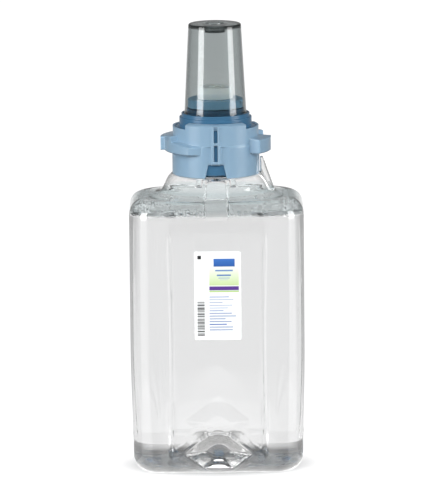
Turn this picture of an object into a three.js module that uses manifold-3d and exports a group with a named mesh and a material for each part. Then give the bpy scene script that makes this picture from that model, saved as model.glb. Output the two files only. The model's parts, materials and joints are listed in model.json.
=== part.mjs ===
// Foaming hand sanitizer refill: a clear collapsible bottle with a foam pump in its neck, a bayonet collar
// and a smoked dust cap. Millimetres, +Z up. The origin is the middle of the foot, and -Y is the label side.
import * as THREE from "three";
import { mergeVertices } from "three/addons/utils/BufferGeometryUtils.js";
import Module from "manifold-3d";

const wasm = await Module();
wasm.setup();

// Clearances
const SEAT_GAP = 0.3; // between a piece and the neighbour that it is fitted to
const RUNNING_GAP = 0.15; // between a sliding lip seal and its bore
const LABEL_GAP = 0.1; // adhesive under the label

// Facets
const ROUND = 32; // sides of the pump's round pieces
const SMALL_ROUND = 18; // sides of stems, valves and mesh discs
const HOLE_ROUND = 8; // sides of small ports
const WALL_SPANS = 2; // spans of the bottle's wall between the ends of its folds
const HEEL_ANGLES = [0, 35, 65]; // degrees round the heel
const SHOULDER_ANGLES = [25, 50, 80]; // degrees round the shoulder's edge

// Bottle body
const BODY_WIDTH = 110;
const BODY_DEPTH = 75;
const BODY_CORNER = 18;
const BODY_HEIGHT = 162; // foot to the start of the shoulder
const BOTTLE_WALL = 0.6;
const FOOT_TAPER = 1.5; // how much narrower each side is at the foot
const SIDE_GUSSET = 2.5; // depth of the fold down each side
const PANEL_MARGIN = 8.2; // from the label panel, at its waist, to the start of the corner
const PANEL_BOW = 1.8; // how much wider the panel is at its ends
const PANEL_RECESS = 0.7;
const PANEL_STEP = 0.9; // half the width of the panel's edge
const PANEL_FADE = 20; // height over which folds and panels run out at each end
const HEEL_RADIUS = 8;
const FOOT_WIDTH = 5;
const BASE_RISE = 6; // push-up of the base
const BASE_ARCH = 0.6; // share of the push-up that is left halfway out to the foot
const BASE_BOSS_R = 7;

// Fold recess at the bottom of the front and the back wall
const RECESS_TOP_HALF = 4.7;
const RECESS_TOP_Z = 28;
const RECESS_WAIST_HALF = 22.5;
const RECESS_WAIST_Z = 13;
const RECESS_FOOT_HALF = 9.5;
const RECESS_FOOT_Z = -1;
const RECESS_DEPTH = 9;
const RECESS_FLOOR_SHARE = 0.35; // size of the recess's floor beside its rim

// Shoulder and neck
const SHOULDER_ROUND = 12; // height of the rounded edge
const SHOULDER_RISE = 14.5; // from the wall to the foot of the cone
const CONE_LEDGE = 0.6; // how far the top of the cone stands out past the collar's skirt
const CONE_SPREAD = 6.1; // how much wider the cone is at its foot
const CONE_RISE = 10.5;
const KEY_FLAT_HALF = 7; // flat down the shoulder, front and back
const NECK_R = 23.4;
const NECK_WALL = 1.8;
const NECK_HEIGHT = 26.5;
const NECK_BEAD = 1; // how far the snap bead stands out
const NECK_BEAD_RISE = 4.4; // from the seat to the bead's underside
const NECK_BEAD_HEIGHT = 2.4;
const TOOTH_COUNT = 18; // teeth that stop the collar from turning
const TOOTH_WIDTH = 3.4;
const TOOTH_HEIGHT = 4.4;
const TOOTH_REACH = 1.2; // how far a tooth stands out past the top of the cone
const FIN_THICKNESS = 2.2;
const FIN_RISE = 10; // how far the fin stands above the collar's bottom edge
const FIN_FOOT = 3; // how far the fin reaches past the foot of the cone
const FIN_TOP = 1.8; // width of the fin's tip

// Contents and label
const FILL_RISE = 2; // from the start of the shoulder to the liquid's surface
const LABEL_WIDTH = 29.4;
const LABEL_HEIGHT = 56.4;
const LABEL_CORNER = 2;
const LABEL_THICKNESS = 0.2;
const LABEL_CENTRE_X = 0.4;
const LABEL_DROP = 47.4; // from the start of the shoulder down to the label's middle

// Collar
const COLLAR_WALL = 1.2; // thickness above the seam
const SKIRT_STEP = 0.4; // how far the skirt stands out below the seam
const COLLAR_SKIRT_HEIGHT = 20;
const LIP_OVERLAP = 3.1; // from the bore in to the pump's ring
const LIP_SLOPE = 0.8; // rise of the lip over the pump's flange
const LIP_THICKNESS = 3.2;
const LIP_EDGE = 0.8; // chamfer of the lip's outer edge
const WINDOW_START = 45; // degrees from the front to where the lip is cut away
const WINDOW_SPAN = 90;
const LUG_REACH = 7.7; // how far a lug stands out of the wall
const RAMP_REACH = 4.9;
const LUG_RISE = 14.5; // collar's bottom edge to the lugs' underside
const LUG_HEIGHT = 9;
const RAMP_DROP = 3.6; // how much lower the ramp's end is
const LUG_START = 52; // degrees from the front to the blunt end of the right lug
const LUG_SPAN = 40;
const RAMP_SPAN = 68;
const LUG_ROOT = 0.6; // overlap of the lugs with the wall
const RAMP_TAIL = 12; // degrees over which the ramp's end runs in to the wall
const STOP_START = 58; // degrees from the lug's blunt end to the stop on its top
const STOP_SPAN = 8;
const STOP_HEIGHT = 1.6;
const LAND_CUT = 1.3; // depth of the flat land round the tear line
const RIB_FOOT_HALF = 3.15; // half width of the tear rib below the seam
const RIB_TOP_HALF = 2.05;
const RIB_STAND = 0.4; // how far the tear rib stands out of the skirt
const SLOT_HALF = 1.15;
const SLOT_BRIDGE = 1.8; // plastic left between the two slots
const SLOT_FOOT = 2.1; // plastic left between the notch and the lower slot
const SLOT_HEAD = 0.5; // plastic left above the upper slot
const NOTCH_HEIGHT = 8.5;
const NOTCH_TOP_HALF = 5;
const NOTCH_BOTTOM_HALF = 7;
const COLLAR_HOOK_REACH = 0.8; // how far the collar's hook reaches in under the housing's skirt

// Pump housing
const GASKET_THICKNESS = 1.2;
const GASKET_WIDTH = 1.7;
const FLANGE_THICKNESS = 2.3;
const HOUSING_SKIRT = 0.9; // thickness of the skirt that snaps over the neck's bead
const HOOK_REACH = 0.7; // how far the skirt's hook reaches in under the bead
const HOOK_HEIGHT = 2.2;
const RING_HEIGHT = 10.7; // flange's underside to the ring's step
const RING_STEP = 1.3;
const RING_TOP = 2.1; // height of the narrower top of the ring
const RING_WALL = 2.5; // thickness of the ring below its step
const PLUG_DEPTH = 6; // sealing plug inside the neck
const PLUG_LEAD = 1.5; // lead-in chamfer below the plug
const PLUG_WALL = 3.1; // from the plug in to the air cylinder's bore
const DECK_RISE = 3.9; // flange's underside to the deck that carries the retainer
const CYLINDER_WALL = 1.4;
const LIQUID_BORE_R = 6.1;
const FLOOR_THICKNESS = 1.6;
const INLET_COUNT = 6;
const INLET_R = 0.9;
const INLET_EDGE = 1.6; // from the valve's edge in to the inlets' circle
const VALVE_STEM_R = 1.3;
const VALVE_PLAY = 0.7; // between the valve's edge and the liquid cylinder
const VALVE_CAP_HEIGHT = 1.4;
const VALVE_BARB_R = 1.9;
const VALVE_BARB_HEIGHT = 1.8;

// Retainer
const RETAINER_DECK = 2.2;
const CAP_SEAT_RISE = 6; // deck of the housing to the rim that the dust cap rests on
const CAP_SEAT_WIDTH = 2.3;

// Piston
const STROKE = 8;
const DISC_REST = 3.2; // left between the disc and the retainer's deck at the end of the stroke
const HEAD_REST = 1.5; // left between the flap and the liquid cylinder
const VALVE_REST = 1.7; // left between the stem and the inlet valve
const SEAL_COVER = 0.9; // how deep the stem's seal sits in the liquid cylinder at rest
const NECK_TUBE_WALL = 3.15; // round the mesh cartridge
const HEAD_HEIGHT = 4.1;
const DISC_PLAY = 0.9; // between the disc that the dispenser grips and the retainer's bore
const DISC_THICKNESS = 2.6;
const DISC_EDGE = 0.5;
const STEM_PLAY = 1.5; // between the stem and the liquid cylinder, bridged by the seal
const STEM_BORE_R = 2.2;
const SEAL_GROOVE = 1.4; // depth of the air seal's groove
const SEAL_HEIGHT = 2;
const STEM_GROOVE = 0.8;
const STEM_SEAL_HEIGHT = 2.4;
const STEM_SEAL_RISE = 1; // stem's end to the seal's groove
const MIXING_HEIGHT = 3;
const CARTRIDGE_SHELF = 0.5; // ledge that the cartridge stands on
const CARTRIDGE_WALL = 1.7;
const MESH_THICKNESS = 0.5;
const AIR_PORT_COUNT = 4;
const AIR_PORT_R = 0.8;
const AIR_PORT_EDGE = 0.1; // left between an air port and the stem or the mixing chamber's wall
const FLAP_THICKNESS = 0.7;
const FLAP_HALF_WIDTH = 1.5;
const NOZZLE_R = 11;
const NOZZLE_TOP_R = 9.6;
const NOZZLE_HEIGHT = 7.4;
const NOZZLE_BORE_R = 4.2;
const NOZZLE_SPIGOT = 2.2;
const BILL_EDGE = 0.9; // between the bill valve's flange and the air ports
const BILL_R = 1.9;
const BILL_HEIGHT = 2.5;

// Return spring
const SPRING_PLAY = 1.6; // between the wire and the liquid cylinder
const SPRING_WIRE_R = 0.5;
const SPRING_TURNS = 6;
const SPRING_WIRE_SIDES = 6;
const SPRING_STEPS_PER_TURN = 8;

// Dust cap
const CAP_HEIGHT = 57.4;
const CAP_PLAY = 0.7; // between the cap's foot and the ring
const CAP_TAPER = 3; // how much narrower the top is, on the radius
const CAP_WALL = 1.2;
const CAP_TOP_WALL = 1.6;
const CAP_EDGE = 1.2; // rounding of the top edge
const CAP_BEAD = 0.3;
const CAP_BEAD_RISE = 1.6;
const CAP_WELL_R = 5.7;
const CAP_WELL_DEPTH = 4;

// Radii that follow from the neck, working out to the collar and in to the pump
const neckBoreR = NECK_R - NECK_WALL;
const housingSkirtBoreR = NECK_R + NECK_BEAD + SEAT_GAP;
const housingSkirtR = housingSkirtBoreR + HOUSING_SKIRT;
const collarBoreR = housingSkirtR + SEAT_GAP;
const collarWallR = collarBoreR + COLLAR_WALL;
const collarSkirtR = collarWallR + SKIRT_STEP;
const lugR = collarWallR + LUG_REACH;
const rampR = collarWallR + RAMP_REACH;
const landY = collarSkirtR - LAND_CUT;
const ribY = collarSkirtR + RIB_STAND;
const coneTopR = collarSkirtR + CONE_LEDGE;
const coneFootR = coneTopR + CONE_SPREAD;
const ringR = collarBoreR - LIP_OVERLAP;
const ringBoreR = ringR - RING_WALL;
const plugR = neckBoreR - SEAT_GAP;
const airBoreR = plugR - PLUG_WALL;
const headR = airBoreR - SEAT_GAP;
const retainerR = ringBoreR - SEAT_GAP;
const capSeatBoreR = retainerR - CAP_SEAT_WIDTH;
const discR = capSeatBoreR - DISC_PLAY;
const capFootR = ringBoreR - CAP_PLAY;
const capTopR = capFootR - CAP_TAPER;

// Radii that follow from the liquid cylinder, working out to the mesh cartridge and the spring
const stemR = LIQUID_BORE_R - STEM_PLAY;
const valveCapR = LIQUID_BORE_R - VALVE_PLAY;
const inletCircleR = valveCapR - INLET_EDGE;
const airPortCircleR = stemR + AIR_PORT_EDGE + AIR_PORT_R;
const billFlangeR = airPortCircleR - AIR_PORT_R - BILL_EDGE;
const mixingBoreR = airPortCircleR + AIR_PORT_R + AIR_PORT_EDGE;
const cartridgeR = mixingBoreR + CARTRIDGE_SHELF;
const cartridgeBoreR = cartridgeR - CARTRIDGE_WALL;
const cartridgeSeatR = cartridgeR + SEAT_GAP / 2;
const neckTubeR = cartridgeSeatR + NECK_TUBE_WALL;
const liquidWallR = LIQUID_BORE_R + CYLINDER_WALL;
const springR = liquidWallR + SPRING_PLAY + SPRING_WIRE_R; // to the middle of the wire
const intakeCircleR = (springR + SPRING_WIRE_R + headR) / 2; // halfway from the spring to the head's edge

// Heights that follow from the stack of pieces
const fillZ = BODY_HEIGHT + FILL_RISE;
const labelZ = BODY_HEIGHT - LABEL_DROP;
const coneFootZ = BODY_HEIGHT + SHOULDER_RISE;
const neckSeatZ = coneFootZ + CONE_RISE;
const beadZ = neckSeatZ + NECK_BEAD_RISE;
const housingHookZ = beadZ - SEAT_GAP;
const housingSkirtZ = housingHookZ - HOOK_HEIGHT; // lower edge of the housing's skirt
const neckRimZ = neckSeatZ + NECK_HEIGHT;
const collarZ = neckSeatZ + SEAT_GAP;
const seamZ = collarZ + COLLAR_SKIRT_HEIGHT;
const flangeZ = neckRimZ + GASKET_THICKNESS;
const lipFootZ = flangeZ + FLANGE_THICKNESS + SEAT_GAP; // underside of the lip at the bore
const wallTopZ = lipFootZ + LIP_THICKNESS;
const lipTopZ = wallTopZ + LIP_SLOPE;
const deckZ = flangeZ + DECK_RISE;
const ringTopZ = flangeZ + RING_HEIGHT + RING_TOP;
const headTopZ = deckZ - SEAT_GAP;
const headZ = headTopZ - HEAD_HEIGHT;
const discZ = deckZ + RETAINER_DECK + STROKE + DISC_REST;
const discTopZ = discZ + DISC_THICKNESS;
const liquidTopZ = headZ - FLAP_THICKNESS - STROKE - HEAD_REST;
const stemSealZ = liquidTopZ - SEAL_COVER - STEM_SEAL_HEIGHT;
const stemZ = stemSealZ - STEM_SEAL_RISE;
const floorZ = stemZ - STROKE - VALVE_REST - VALVE_CAP_HEIGHT;
const mixingFloorZ = headTopZ + STEM_GROOVE;
const cartridgeZ = mixingFloorZ + MIXING_HEIGHT;
const cartridgeTopZ = discTopZ - NOZZLE_SPIGOT - SEAT_GAP; // held down by the nozzle
const capSeatZ = deckZ + CAP_SEAT_RISE;
const capTopZ = capSeatZ + CAP_HEIGHT;
const panelY = BODY_DEPTH / 2 - PANEL_RECESS;

// Materials
const plastic = (color, roughness, extra = {}) =>
  new THREE.MeshStandardMaterial({ color, roughness, metalness: 0, ...extra });
const clear = (opacity) => ({ transparent: true, opacity });
const clearPet = plastic(0xe9eef0, 0.06, clear(0.25));
const sanitizer = plastic(0xeef0f1, 0.02, clear(0.3));
const labelFilm = plastic(0xf8fafa, 0.4);
const paleBlue = plastic(0x9fbdd6, 0.32);
const deepBlue = plastic(0x3a6a9c, 0.28);
const natural = plastic(0xe4e8e6, 0.4);
const silicone = plastic(0xd8dde0, 0.55);
const foamPad = plastic(0xf2f2ee, 0.8);
const meshNylon = plastic(0xf0efe8, 0.6);
const steel = new THREE.MeshStandardMaterial({ color: 0xb9bcbf, roughness: 0.3, metalness: 1 });
const smoked = plastic(0x7d8687, 0.08, clear(0.55));

// Solids from three.js geometry, and back

function toSolid(geometry) {
  const bare = new THREE.BufferGeometry();
  bare.setAttribute("position", geometry.getAttribute("position"));
  bare.setIndex(geometry.index);
  const merged = mergeVertices(bare, 1e-4);
  const corners = merged.index.array;
  const kept = [];
  for (let i = 0; i < corners.length; i += 3) {
    const [a, b, c] = corners.subarray(i, i + 3);
    if (a !== b && b !== c && c !== a) kept.push(a, b, c);
  }
  return new wasm.Manifold(
    new wasm.Mesh({
      numProp: 3,
      vertProperties: merged.getAttribute("position").array,
      triVerts: new Uint32Array(kept),
    }),
  );
}

function toMesh(name, solid, material) {
  const made = solid.getMesh();
  const geometry = new THREE.BufferGeometry();
  geometry.setAttribute("position", new THREE.BufferAttribute(made.vertProperties, 3));
  geometry.setIndex(new THREE.BufferAttribute(made.triVerts, 1));
  geometry.computeVertexNormals();
  const mesh = new THREE.Mesh(geometry, material);
  mesh.name = name;
  return mesh;
}

const union = (solids) => solids.reduce((whole, next) => whole.add(next));
const cut = (solid, tools) => tools.reduce((left, tool) => left.subtract(tool), solid);

// A closed profile of [radius, z] corners turned about the Z axis.
function revolve(profile, sides = ROUND) {
  const corners = profile.map(([r, z]) => new THREE.Vector2(r, z));
  if (THREE.ShapeUtils.area(corners) < 0) corners.reverse();
  corners.push(corners[0].clone());
  const geometry = new THREE.LatheGeometry(corners, sides);
  geometry.rotateX(Math.PI / 2);
  return toSolid(geometry);
}

// An outline of [across, up] corners drawn in the XZ plane and pulled from y = 0 to y = -depth.
// The end at y = 0 is scaled about the point (0, scaleUp).
function pullForward(outline, depth, startScale = 1, scaleUp = 0) {
  const shape = new THREE.Shape(outline.map(([across, up]) => new THREE.Vector2(across, up)));
  const geometry = new THREE.ExtrudeGeometry(shape, { depth, bevelEnabled: false });
  const place = geometry.getAttribute("position");
  for (let i = 0; i < place.count; i++) {
    if (place.getZ(i) > depth / 2) continue;
    place.setX(i, place.getX(i) * startScale);
    place.setY(i, scaleUp + (place.getY(i) - scaleUp) * startScale);
  }
  geometry.rotateX(Math.PI / 2);
  return toSolid(geometry);
}

// A block between two radii and two angles, counted in degrees from the front (-Y) towards +X.
function arcBlock(innerR, outerR, startDeg, spanDeg, bottomZ, topZ, topDrop = 0) {
  const start = THREE.MathUtils.degToRad(startDeg - 90);
  const span = THREE.MathUtils.degToRad(spanDeg);
  const shape = new THREE.Shape();
  shape.absarc(0, 0, outerR, start, start + span, false);
  shape.absarc(0, 0, innerR, start + span, start, true);
  const curveSegments = Math.max(2, Math.round((ROUND * spanDeg) / 360));
  const depth = topZ - bottomZ;
  const geometry = new THREE.ExtrudeGeometry(shape, { depth, bevelEnabled: false, curveSegments });
  const place = geometry.getAttribute("position");
  for (let i = 0; i < place.count; i++) {
    if (place.getZ(i) < depth / 2) continue;
    const turned = Math.atan2(place.getY(i), place.getX(i)) - start;
    const share = THREE.MathUtils.euclideanModulo(turned + 1e-6, 2 * Math.PI) / span;
    place.setZ(i, depth - topDrop * Math.min(share, 1));
  }
  geometry.translate(0, 0, bottomZ);
  return toSolid(geometry);
}

function box(width, depth, height, x, y, z) {
  return toSolid(new THREE.BoxGeometry(width, depth, height).translate(x, y, z));
}

// Round ports along Z, evenly spaced on a circle.
function ports(count, radius, circleR, bottomZ, topZ) {
  const height = topZ - bottomZ;
  return Array.from({ length: count }, (_, i) => {
    const angle = (2 * Math.PI * i) / count;
    const hole = new THREE.CylinderGeometry(radius, radius, height, HOLE_ROUND).rotateX(Math.PI / 2);
    hole.translate(circleR * Math.cos(angle), circleR * Math.sin(angle), (bottomZ + topZ) / 2);
    return toSolid(hole);
  });
}

const aboutZ = (solid, degrees) => solid.rotate([0, 0, degrees]);
const frontAndBack = (solid) => [solid, aboutZ(solid, 180)];

// Bottle: rings of stations are lofted from the middle of the base, over the heel and up to the neck.
// Each quarter of a ring runs from the side's fold, round the corner, to the middle of the label panel.

const CORNER_STEPS = 6;
const QUARTER_STEPS = CORNER_STEPS + 7;

// 1 along the body, easing to 0 at the heel and at the shoulder, where folds and panels run out.
function alongBody(z) {
  const { smoothstep } = THREE.MathUtils;
  return smoothstep(z, HEEL_RADIUS, PANEL_FADE) * (1 - smoothstep(z, BODY_HEIGHT - PANEL_FADE, BODY_HEIGHT));
}

function quarterStations(z, inset) {
  const taper = FOOT_TAPER * (1 - THREE.MathUtils.smoothstep(z, 0, BODY_HEIGHT / 2));
  const halfWidth = BODY_WIDTH / 2 - taper - inset;
  const halfDepth = BODY_DEPTH / 2 - inset;
  const corner = BODY_CORNER - inset;
  const fold = SIDE_GUSSET * alongBody(z);
  const recess = PANEL_RECESS * alongBody(z);
  const bow = (2 * z) / BODY_HEIGHT - 1;
  const panelHalf = BODY_WIDTH / 2 - BODY_CORNER - PANEL_MARGIN;
  const panel = panelHalf + PANEL_BOW * bow * bow;
  const straight = halfDepth - corner;
  const stations = [0, 0.5].map((share) => [halfWidth - fold * (1 - share), straight * share]);
  for (let step = 0; step <= CORNER_STEPS; step++) {
    const angle = (Math.PI / 2) * (step / CORNER_STEPS);
    stations.push([
      halfWidth - corner + corner * Math.cos(angle),
      halfDepth - corner + corner * Math.sin(angle),
    ]);
  }
  stations.push([panel + PANEL_STEP, halfDepth]);
  stations.push([panel - PANEL_STEP, halfDepth - recess]);
  for (const share of [0.66, 0.33, 0]) stations.push([panel * share, halfDepth - recess]);
  return stations;
}

function bodyRing(z, inset, ringZ = z) {
  const quarter = quarterStations(z, inset);
  const ring = [];
  for (let q = 0; q < 4; q++) {
    const [signX, signY] = [q === 0 || q === 3 ? 1 : -1, q < 2 ? 1 : -1];
    for (let k = 0; k < QUARTER_STEPS; k++) {
      const [x, y] = quarter[q % 2 === 0 ? k : QUARTER_STEPS - k];
      ring.push([signX * x, signY * y, ringZ]);
    }
  }
  return ring;
}

function roundRing(radius, z) {
  const count = 4 * QUARTER_STEPS;
  return Array.from({ length: count }, (_, i) => {
    const angle = (2 * Math.PI * i) / count;
    return [radius * Math.cos(angle), radius * Math.sin(angle), z];
  });
}

function blendRings(from, to, share, z) {
  return from.map(([x, y], i) => [x + (to[i][0] - x) * share, y + (to[i][1] - y) * share, z]);
}

// A closed solid through rings of equal length, with a point at each end.
function loft(rings) {
  const count = rings[0].length;
  const middleOf = (ring) => [0, 0, ring[0][2]];
  const places = [...rings.flat(), middleOf(rings[0]), middleOf(rings.at(-1))].flat();
  const [bottom, top] = [rings.length * count, rings.length * count + 1];
  const index = [];
  for (let i = 0; i < count; i++) {
    const next = (i + 1) % count;
    index.push(bottom, next, i);
    for (let level = 0; level + 1 < rings.length; level++) {
      const [a, b] = [level * count + i, level * count + next];
      index.push(a, b, b + count, a, b + count, a + count);
    }
    const last = (rings.length - 1) * count;
    index.push(last + i, last + next, top);
  }
  const geometry = new THREE.BufferGeometry();
  geometry.setAttribute("position", new THREE.Float32BufferAttribute(places, 3));
  geometry.setIndex(index);
  return toSolid(geometry);
}

// The wall's levels: the heel, the ends of the folds, those between them and the start of the shoulder.
const foldSpan = BODY_HEIGHT - 2 * PANEL_FADE;
const wallHeights = [HEEL_RADIUS];
for (let i = 0; i <= WALL_SPANS; i++) wallHeights.push(PANEL_FADE + (foldSpan * i) / WALL_SPANS);
wallHeights.push(BODY_HEIGHT);

function baseAndWallRings(inset) {
  const footRing = bodyRing(0, HEEL_RADIUS + FOOT_WIDTH, inset);
  const rings = [
    roundRing(BASE_BOSS_R, BASE_RISE + inset),
    blendRings(footRing, roundRing(BASE_BOSS_R, 0), 0.5, BASE_RISE * BASE_ARCH + inset),
    footRing,
  ];
  for (const degrees of HEEL_ANGLES) {
    const angle = THREE.MathUtils.degToRad(degrees);
    const reach = HEEL_RADIUS - inset;
    const z = HEEL_RADIUS - reach * Math.cos(angle);
    rings.push(bodyRing(z, HEEL_RADIUS - reach * Math.sin(angle)));
  }
  for (const z of wallHeights) rings.push(bodyRing(z, inset));
  return rings;
}

// The wall rounds over into a nearly flat shoulder that runs in to the foot of the neck's cone.
function shoulderRings(inset) {
  const from = bodyRing(BODY_HEIGHT, inset);
  const to = roundRing(coneFootR - inset, 0);
  const roundShare = SHOULDER_ROUND / (BODY_WIDTH / 2 - coneFootR);
  return SHOULDER_ANGLES.map((degrees) => {
    const angle = THREE.MathUtils.degToRad(degrees);
    const z = BODY_HEIGHT + (SHOULDER_ROUND - inset) * Math.sin(angle);
    return blendRings(from, to, roundShare * (1 - Math.cos(angle)), z);
  });
}

function keyFlat(inset) {
  const [neckY, wallY] = [coneTopR + TOOTH_REACH - inset, BODY_DEPTH / 2 - inset];
  const outside = BODY_DEPTH;
  const section = [
    [neckY, neckSeatZ + SEAT_GAP],
    [wallY, BODY_HEIGHT],
    [outside, BODY_HEIGHT],
    [outside, neckSeatZ + SEAT_GAP],
  ];
  const half = KEY_FLAT_HALF + inset;
  const slab = pullForward(section, 2 * half).translate([0, half, 0]);
  return aboutZ(slab, -90);
}

function foldRecess(inset) {
  const [topZ, footZ] = [RECESS_TOP_Z + inset, RECESS_FOOT_Z - inset];
  const half = [
    [RECESS_TOP_HALF + inset, topZ],
    [RECESS_WAIST_HALF + inset, RECESS_WAIST_Z],
    [RECESS_FOOT_HALF + inset, footZ],
  ];
  const mirrored = half.map(([across, up]) => [-across, up]).reverse();
  const depth = RECESS_DEPTH + inset;
  const rimY = BODY_DEPTH / 2 - PANEL_RECESS * alongBody(RECESS_WAIST_Z);
  const pulled = pullForward([...half, ...mirrored], depth, RECESS_FLOOR_SHARE, RECESS_WAIST_Z);
  const opening = pullForward([...half, ...mirrored], BODY_CORNER).translate([0, -depth, 0]);
  return pulled.add(opening).translate([0, -rimY + RECESS_DEPTH + inset, 0]);
}

function bottleForm(inset, neckRings) {
  const form = loft([...baseAndWallRings(inset), ...shoulderRings(inset), ...neckRings]);
  return cut(form, [...frontAndBack(foldRecess(inset)), ...frontAndBack(keyFlat(inset))]);
}

function neckTeeth() {
  const outerR = coneTopR + TOOTH_REACH;
  const innerR = NECK_R - NECK_WALL / 2;
  const tooth = box(
    outerR - innerR,
    TOOTH_WIDTH,
    TOOTH_HEIGHT,
    (outerR + innerR) / 2,
    0,
    neckSeatZ - TOOTH_HEIGHT / 2,
  );
  return Array.from({ length: TOOTH_COUNT }, (_, i) => aboutZ(tooth, 90 + (360 * i) / TOOTH_COUNT));
}

function neckFin() {
  const innerR = collarSkirtR + SEAT_GAP;
  const rootR = coneTopR - BOTTLE_WALL;
  const section = [
    [innerR, collarZ + FIN_RISE],
    [innerR + FIN_TOP, collarZ + FIN_RISE],
    [coneFootR + FIN_FOOT, coneFootZ - BOTTLE_WALL],
    [coneFootR - BOTTLE_WALL, coneFootZ - BOTTLE_WALL],
    [rootR, neckSeatZ - TOOTH_HEIGHT / 2],
    [innerR, neckSeatZ - TOOTH_HEIGHT / 2],
  ];
  return pullForward(section, FIN_THICKNESS).translate([0, FIN_THICKNESS / 2, 0]);
}

const outerNeckRings = [
  roundRing(coneFootR, coneFootZ),
  roundRing(coneTopR, neckSeatZ),
  roundRing(NECK_R, neckSeatZ),
  roundRing(NECK_R, beadZ),
  roundRing(NECK_R + NECK_BEAD, beadZ),
  roundRing(NECK_R + NECK_BEAD, beadZ + NECK_BEAD_HEIGHT / 2),
  roundRing(NECK_R, beadZ + NECK_BEAD_HEIGHT),
  roundRing(NECK_R, neckRimZ),
];

function innerNeckRings(inset) {
  return [
    roundRing(coneFootR - inset, coneFootZ - inset),
    roundRing(coneTopR - inset - NECK_WALL, neckSeatZ - NECK_WALL),
    roundRing(neckBoreR, neckSeatZ - NECK_WALL / 2),
    roundRing(neckBoreR, neckRimZ + SEAT_GAP),
  ];
}

function bottle() {
  const outer = bottleForm(0, outerNeckRings);
  const inner = bottleForm(BOTTLE_WALL, innerNeckRings(BOTTLE_WALL));
  return union([outer, ...neckTeeth(), neckFin()]).subtract(inner);
}

function sanitizerLiquid() {
  const inset = BOTTLE_WALL + SEAT_GAP;
  const form = bottleForm(inset, innerNeckRings(inset));
  const above = 2 * BODY_WIDTH;
  return form.subtract(box(above, above, above, 0, 0, fillZ + above / 2));
}

function frontLabel() {
  const [endX, endZ] = [LABEL_WIDTH / 2 - LABEL_CORNER, LABEL_HEIGHT / 2 - LABEL_CORNER];
  const quarter = Math.PI / 2;
  const shape = new THREE.Shape();
  shape.absarc(endX, endZ, LABEL_CORNER, 0, quarter, false);
  shape.absarc(-endX, endZ, LABEL_CORNER, quarter, 2 * quarter, false);
  shape.absarc(-endX, -endZ, LABEL_CORNER, 2 * quarter, 3 * quarter, false);
  shape.absarc(endX, -endZ, LABEL_CORNER, 3 * quarter, 4 * quarter, false);
  shape.closePath();
  const geometry = new THREE.ExtrudeGeometry(shape, {
    depth: LABEL_THICKNESS,
    bevelEnabled: false,
    curveSegments: 4,
  });
  geometry.rotateX(Math.PI / 2).translate(LABEL_CENTRE_X, -panelY - LABEL_GAP, labelZ);
  return toSolid(geometry);
}

// Collar: snaps round the pump housing's skirt, with a tear line, a pry notch and two ramped bayonet lugs.

function collarShell() {
  const hookTopZ = housingSkirtZ - SEAT_GAP;
  const hookR = collarBoreR - COLLAR_HOOK_REACH;
  return revolve([
    [collarBoreR, collarZ],
    [collarSkirtR, collarZ],
    [collarSkirtR, seamZ],
    [collarWallR, seamZ],
    [collarWallR, wallTopZ - LIP_EDGE],
    [collarWallR - LIP_EDGE, wallTopZ],
    [ringR + SEAT_GAP, lipTopZ],
    [ringR + SEAT_GAP, lipTopZ - LIP_THICKNESS],
    [collarBoreR, lipFootZ],
    [collarBoreR, hookTopZ],
    [hookR, hookTopZ],
  ]);
}

// The end of a ramp: a wedge in plan that runs in to the wall.
function rampTail(rootR, startDeg, bottomZ, topZ) {
  const at = (radius, degrees) => {
    const angle = THREE.MathUtils.degToRad(degrees - 90);
    return new THREE.Vector2(radius * Math.cos(angle), radius * Math.sin(angle));
  };
  const endDeg = startDeg + RAMP_TAIL;
  const [inStart, outStart] = [at(rootR, startDeg), at(rampR, startDeg)];
  const [outEnd, inEnd] = [at(collarSkirtR, endDeg), at(rootR, endDeg)];
  const shape = new THREE.Shape([inStart, outStart, outEnd, inEnd]);
  const geometry = new THREE.ExtrudeGeometry(shape, { depth: topZ - bottomZ, bevelEnabled: false });
  return toSolid(geometry.translate(0, 0, bottomZ));
}

function bayonetLug() {
  const rootR = collarWallR - LUG_ROOT;
  const [bottomZ, topZ] = [collarZ + LUG_RISE, collarZ + LUG_RISE + LUG_HEIGHT];
  const rampStart = LUG_START + LUG_SPAN;
  const arcSpan = RAMP_SPAN - RAMP_TAIL;
  return union([
    arcBlock(rootR, lugR, LUG_START, LUG_SPAN, bottomZ, topZ),
    arcBlock(rootR, rampR, rampStart, arcSpan, bottomZ, topZ, RAMP_DROP),
    rampTail(rootR, rampStart + arcSpan, bottomZ, topZ - RAMP_DROP),
    arcBlock(rootR, rampR, LUG_START + STOP_START, STOP_SPAN, bottomZ, topZ + STOP_HEIGHT),
  ]);
}

function tearLineTools() {
  const slotFootZ = collarZ + NOTCH_HEIGHT + SLOT_FOOT;
  const slotTopZ = wallTopZ - SLOT_HEAD;
  const slotHeight = (slotTopZ - slotFootZ - SLOT_BRIDGE) / 2;
  const wallDepth = 4 * (ribY - collarBoreR);
  const slotZs = [slotFootZ + slotHeight / 2, slotTopZ - slotHeight / 2];
  const slots = slotZs.map((z) => box(2 * SLOT_HALF, wallDepth, slotHeight, 0, -collarBoreR, z));
  const notch = pullForward(
    [
      [-NOTCH_BOTTOM_HALF, collarZ - SEAT_GAP],
      [NOTCH_BOTTOM_HALF, collarZ - SEAT_GAP],
      [NOTCH_TOP_HALF, collarZ + NOTCH_HEIGHT],
      [-NOTCH_TOP_HALF, collarZ + NOTCH_HEIGHT],
    ],
    collarSkirtR,
  ).translate([0, -collarSkirtR / 2, 0]);
  return [...slots, notch];
}

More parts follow.
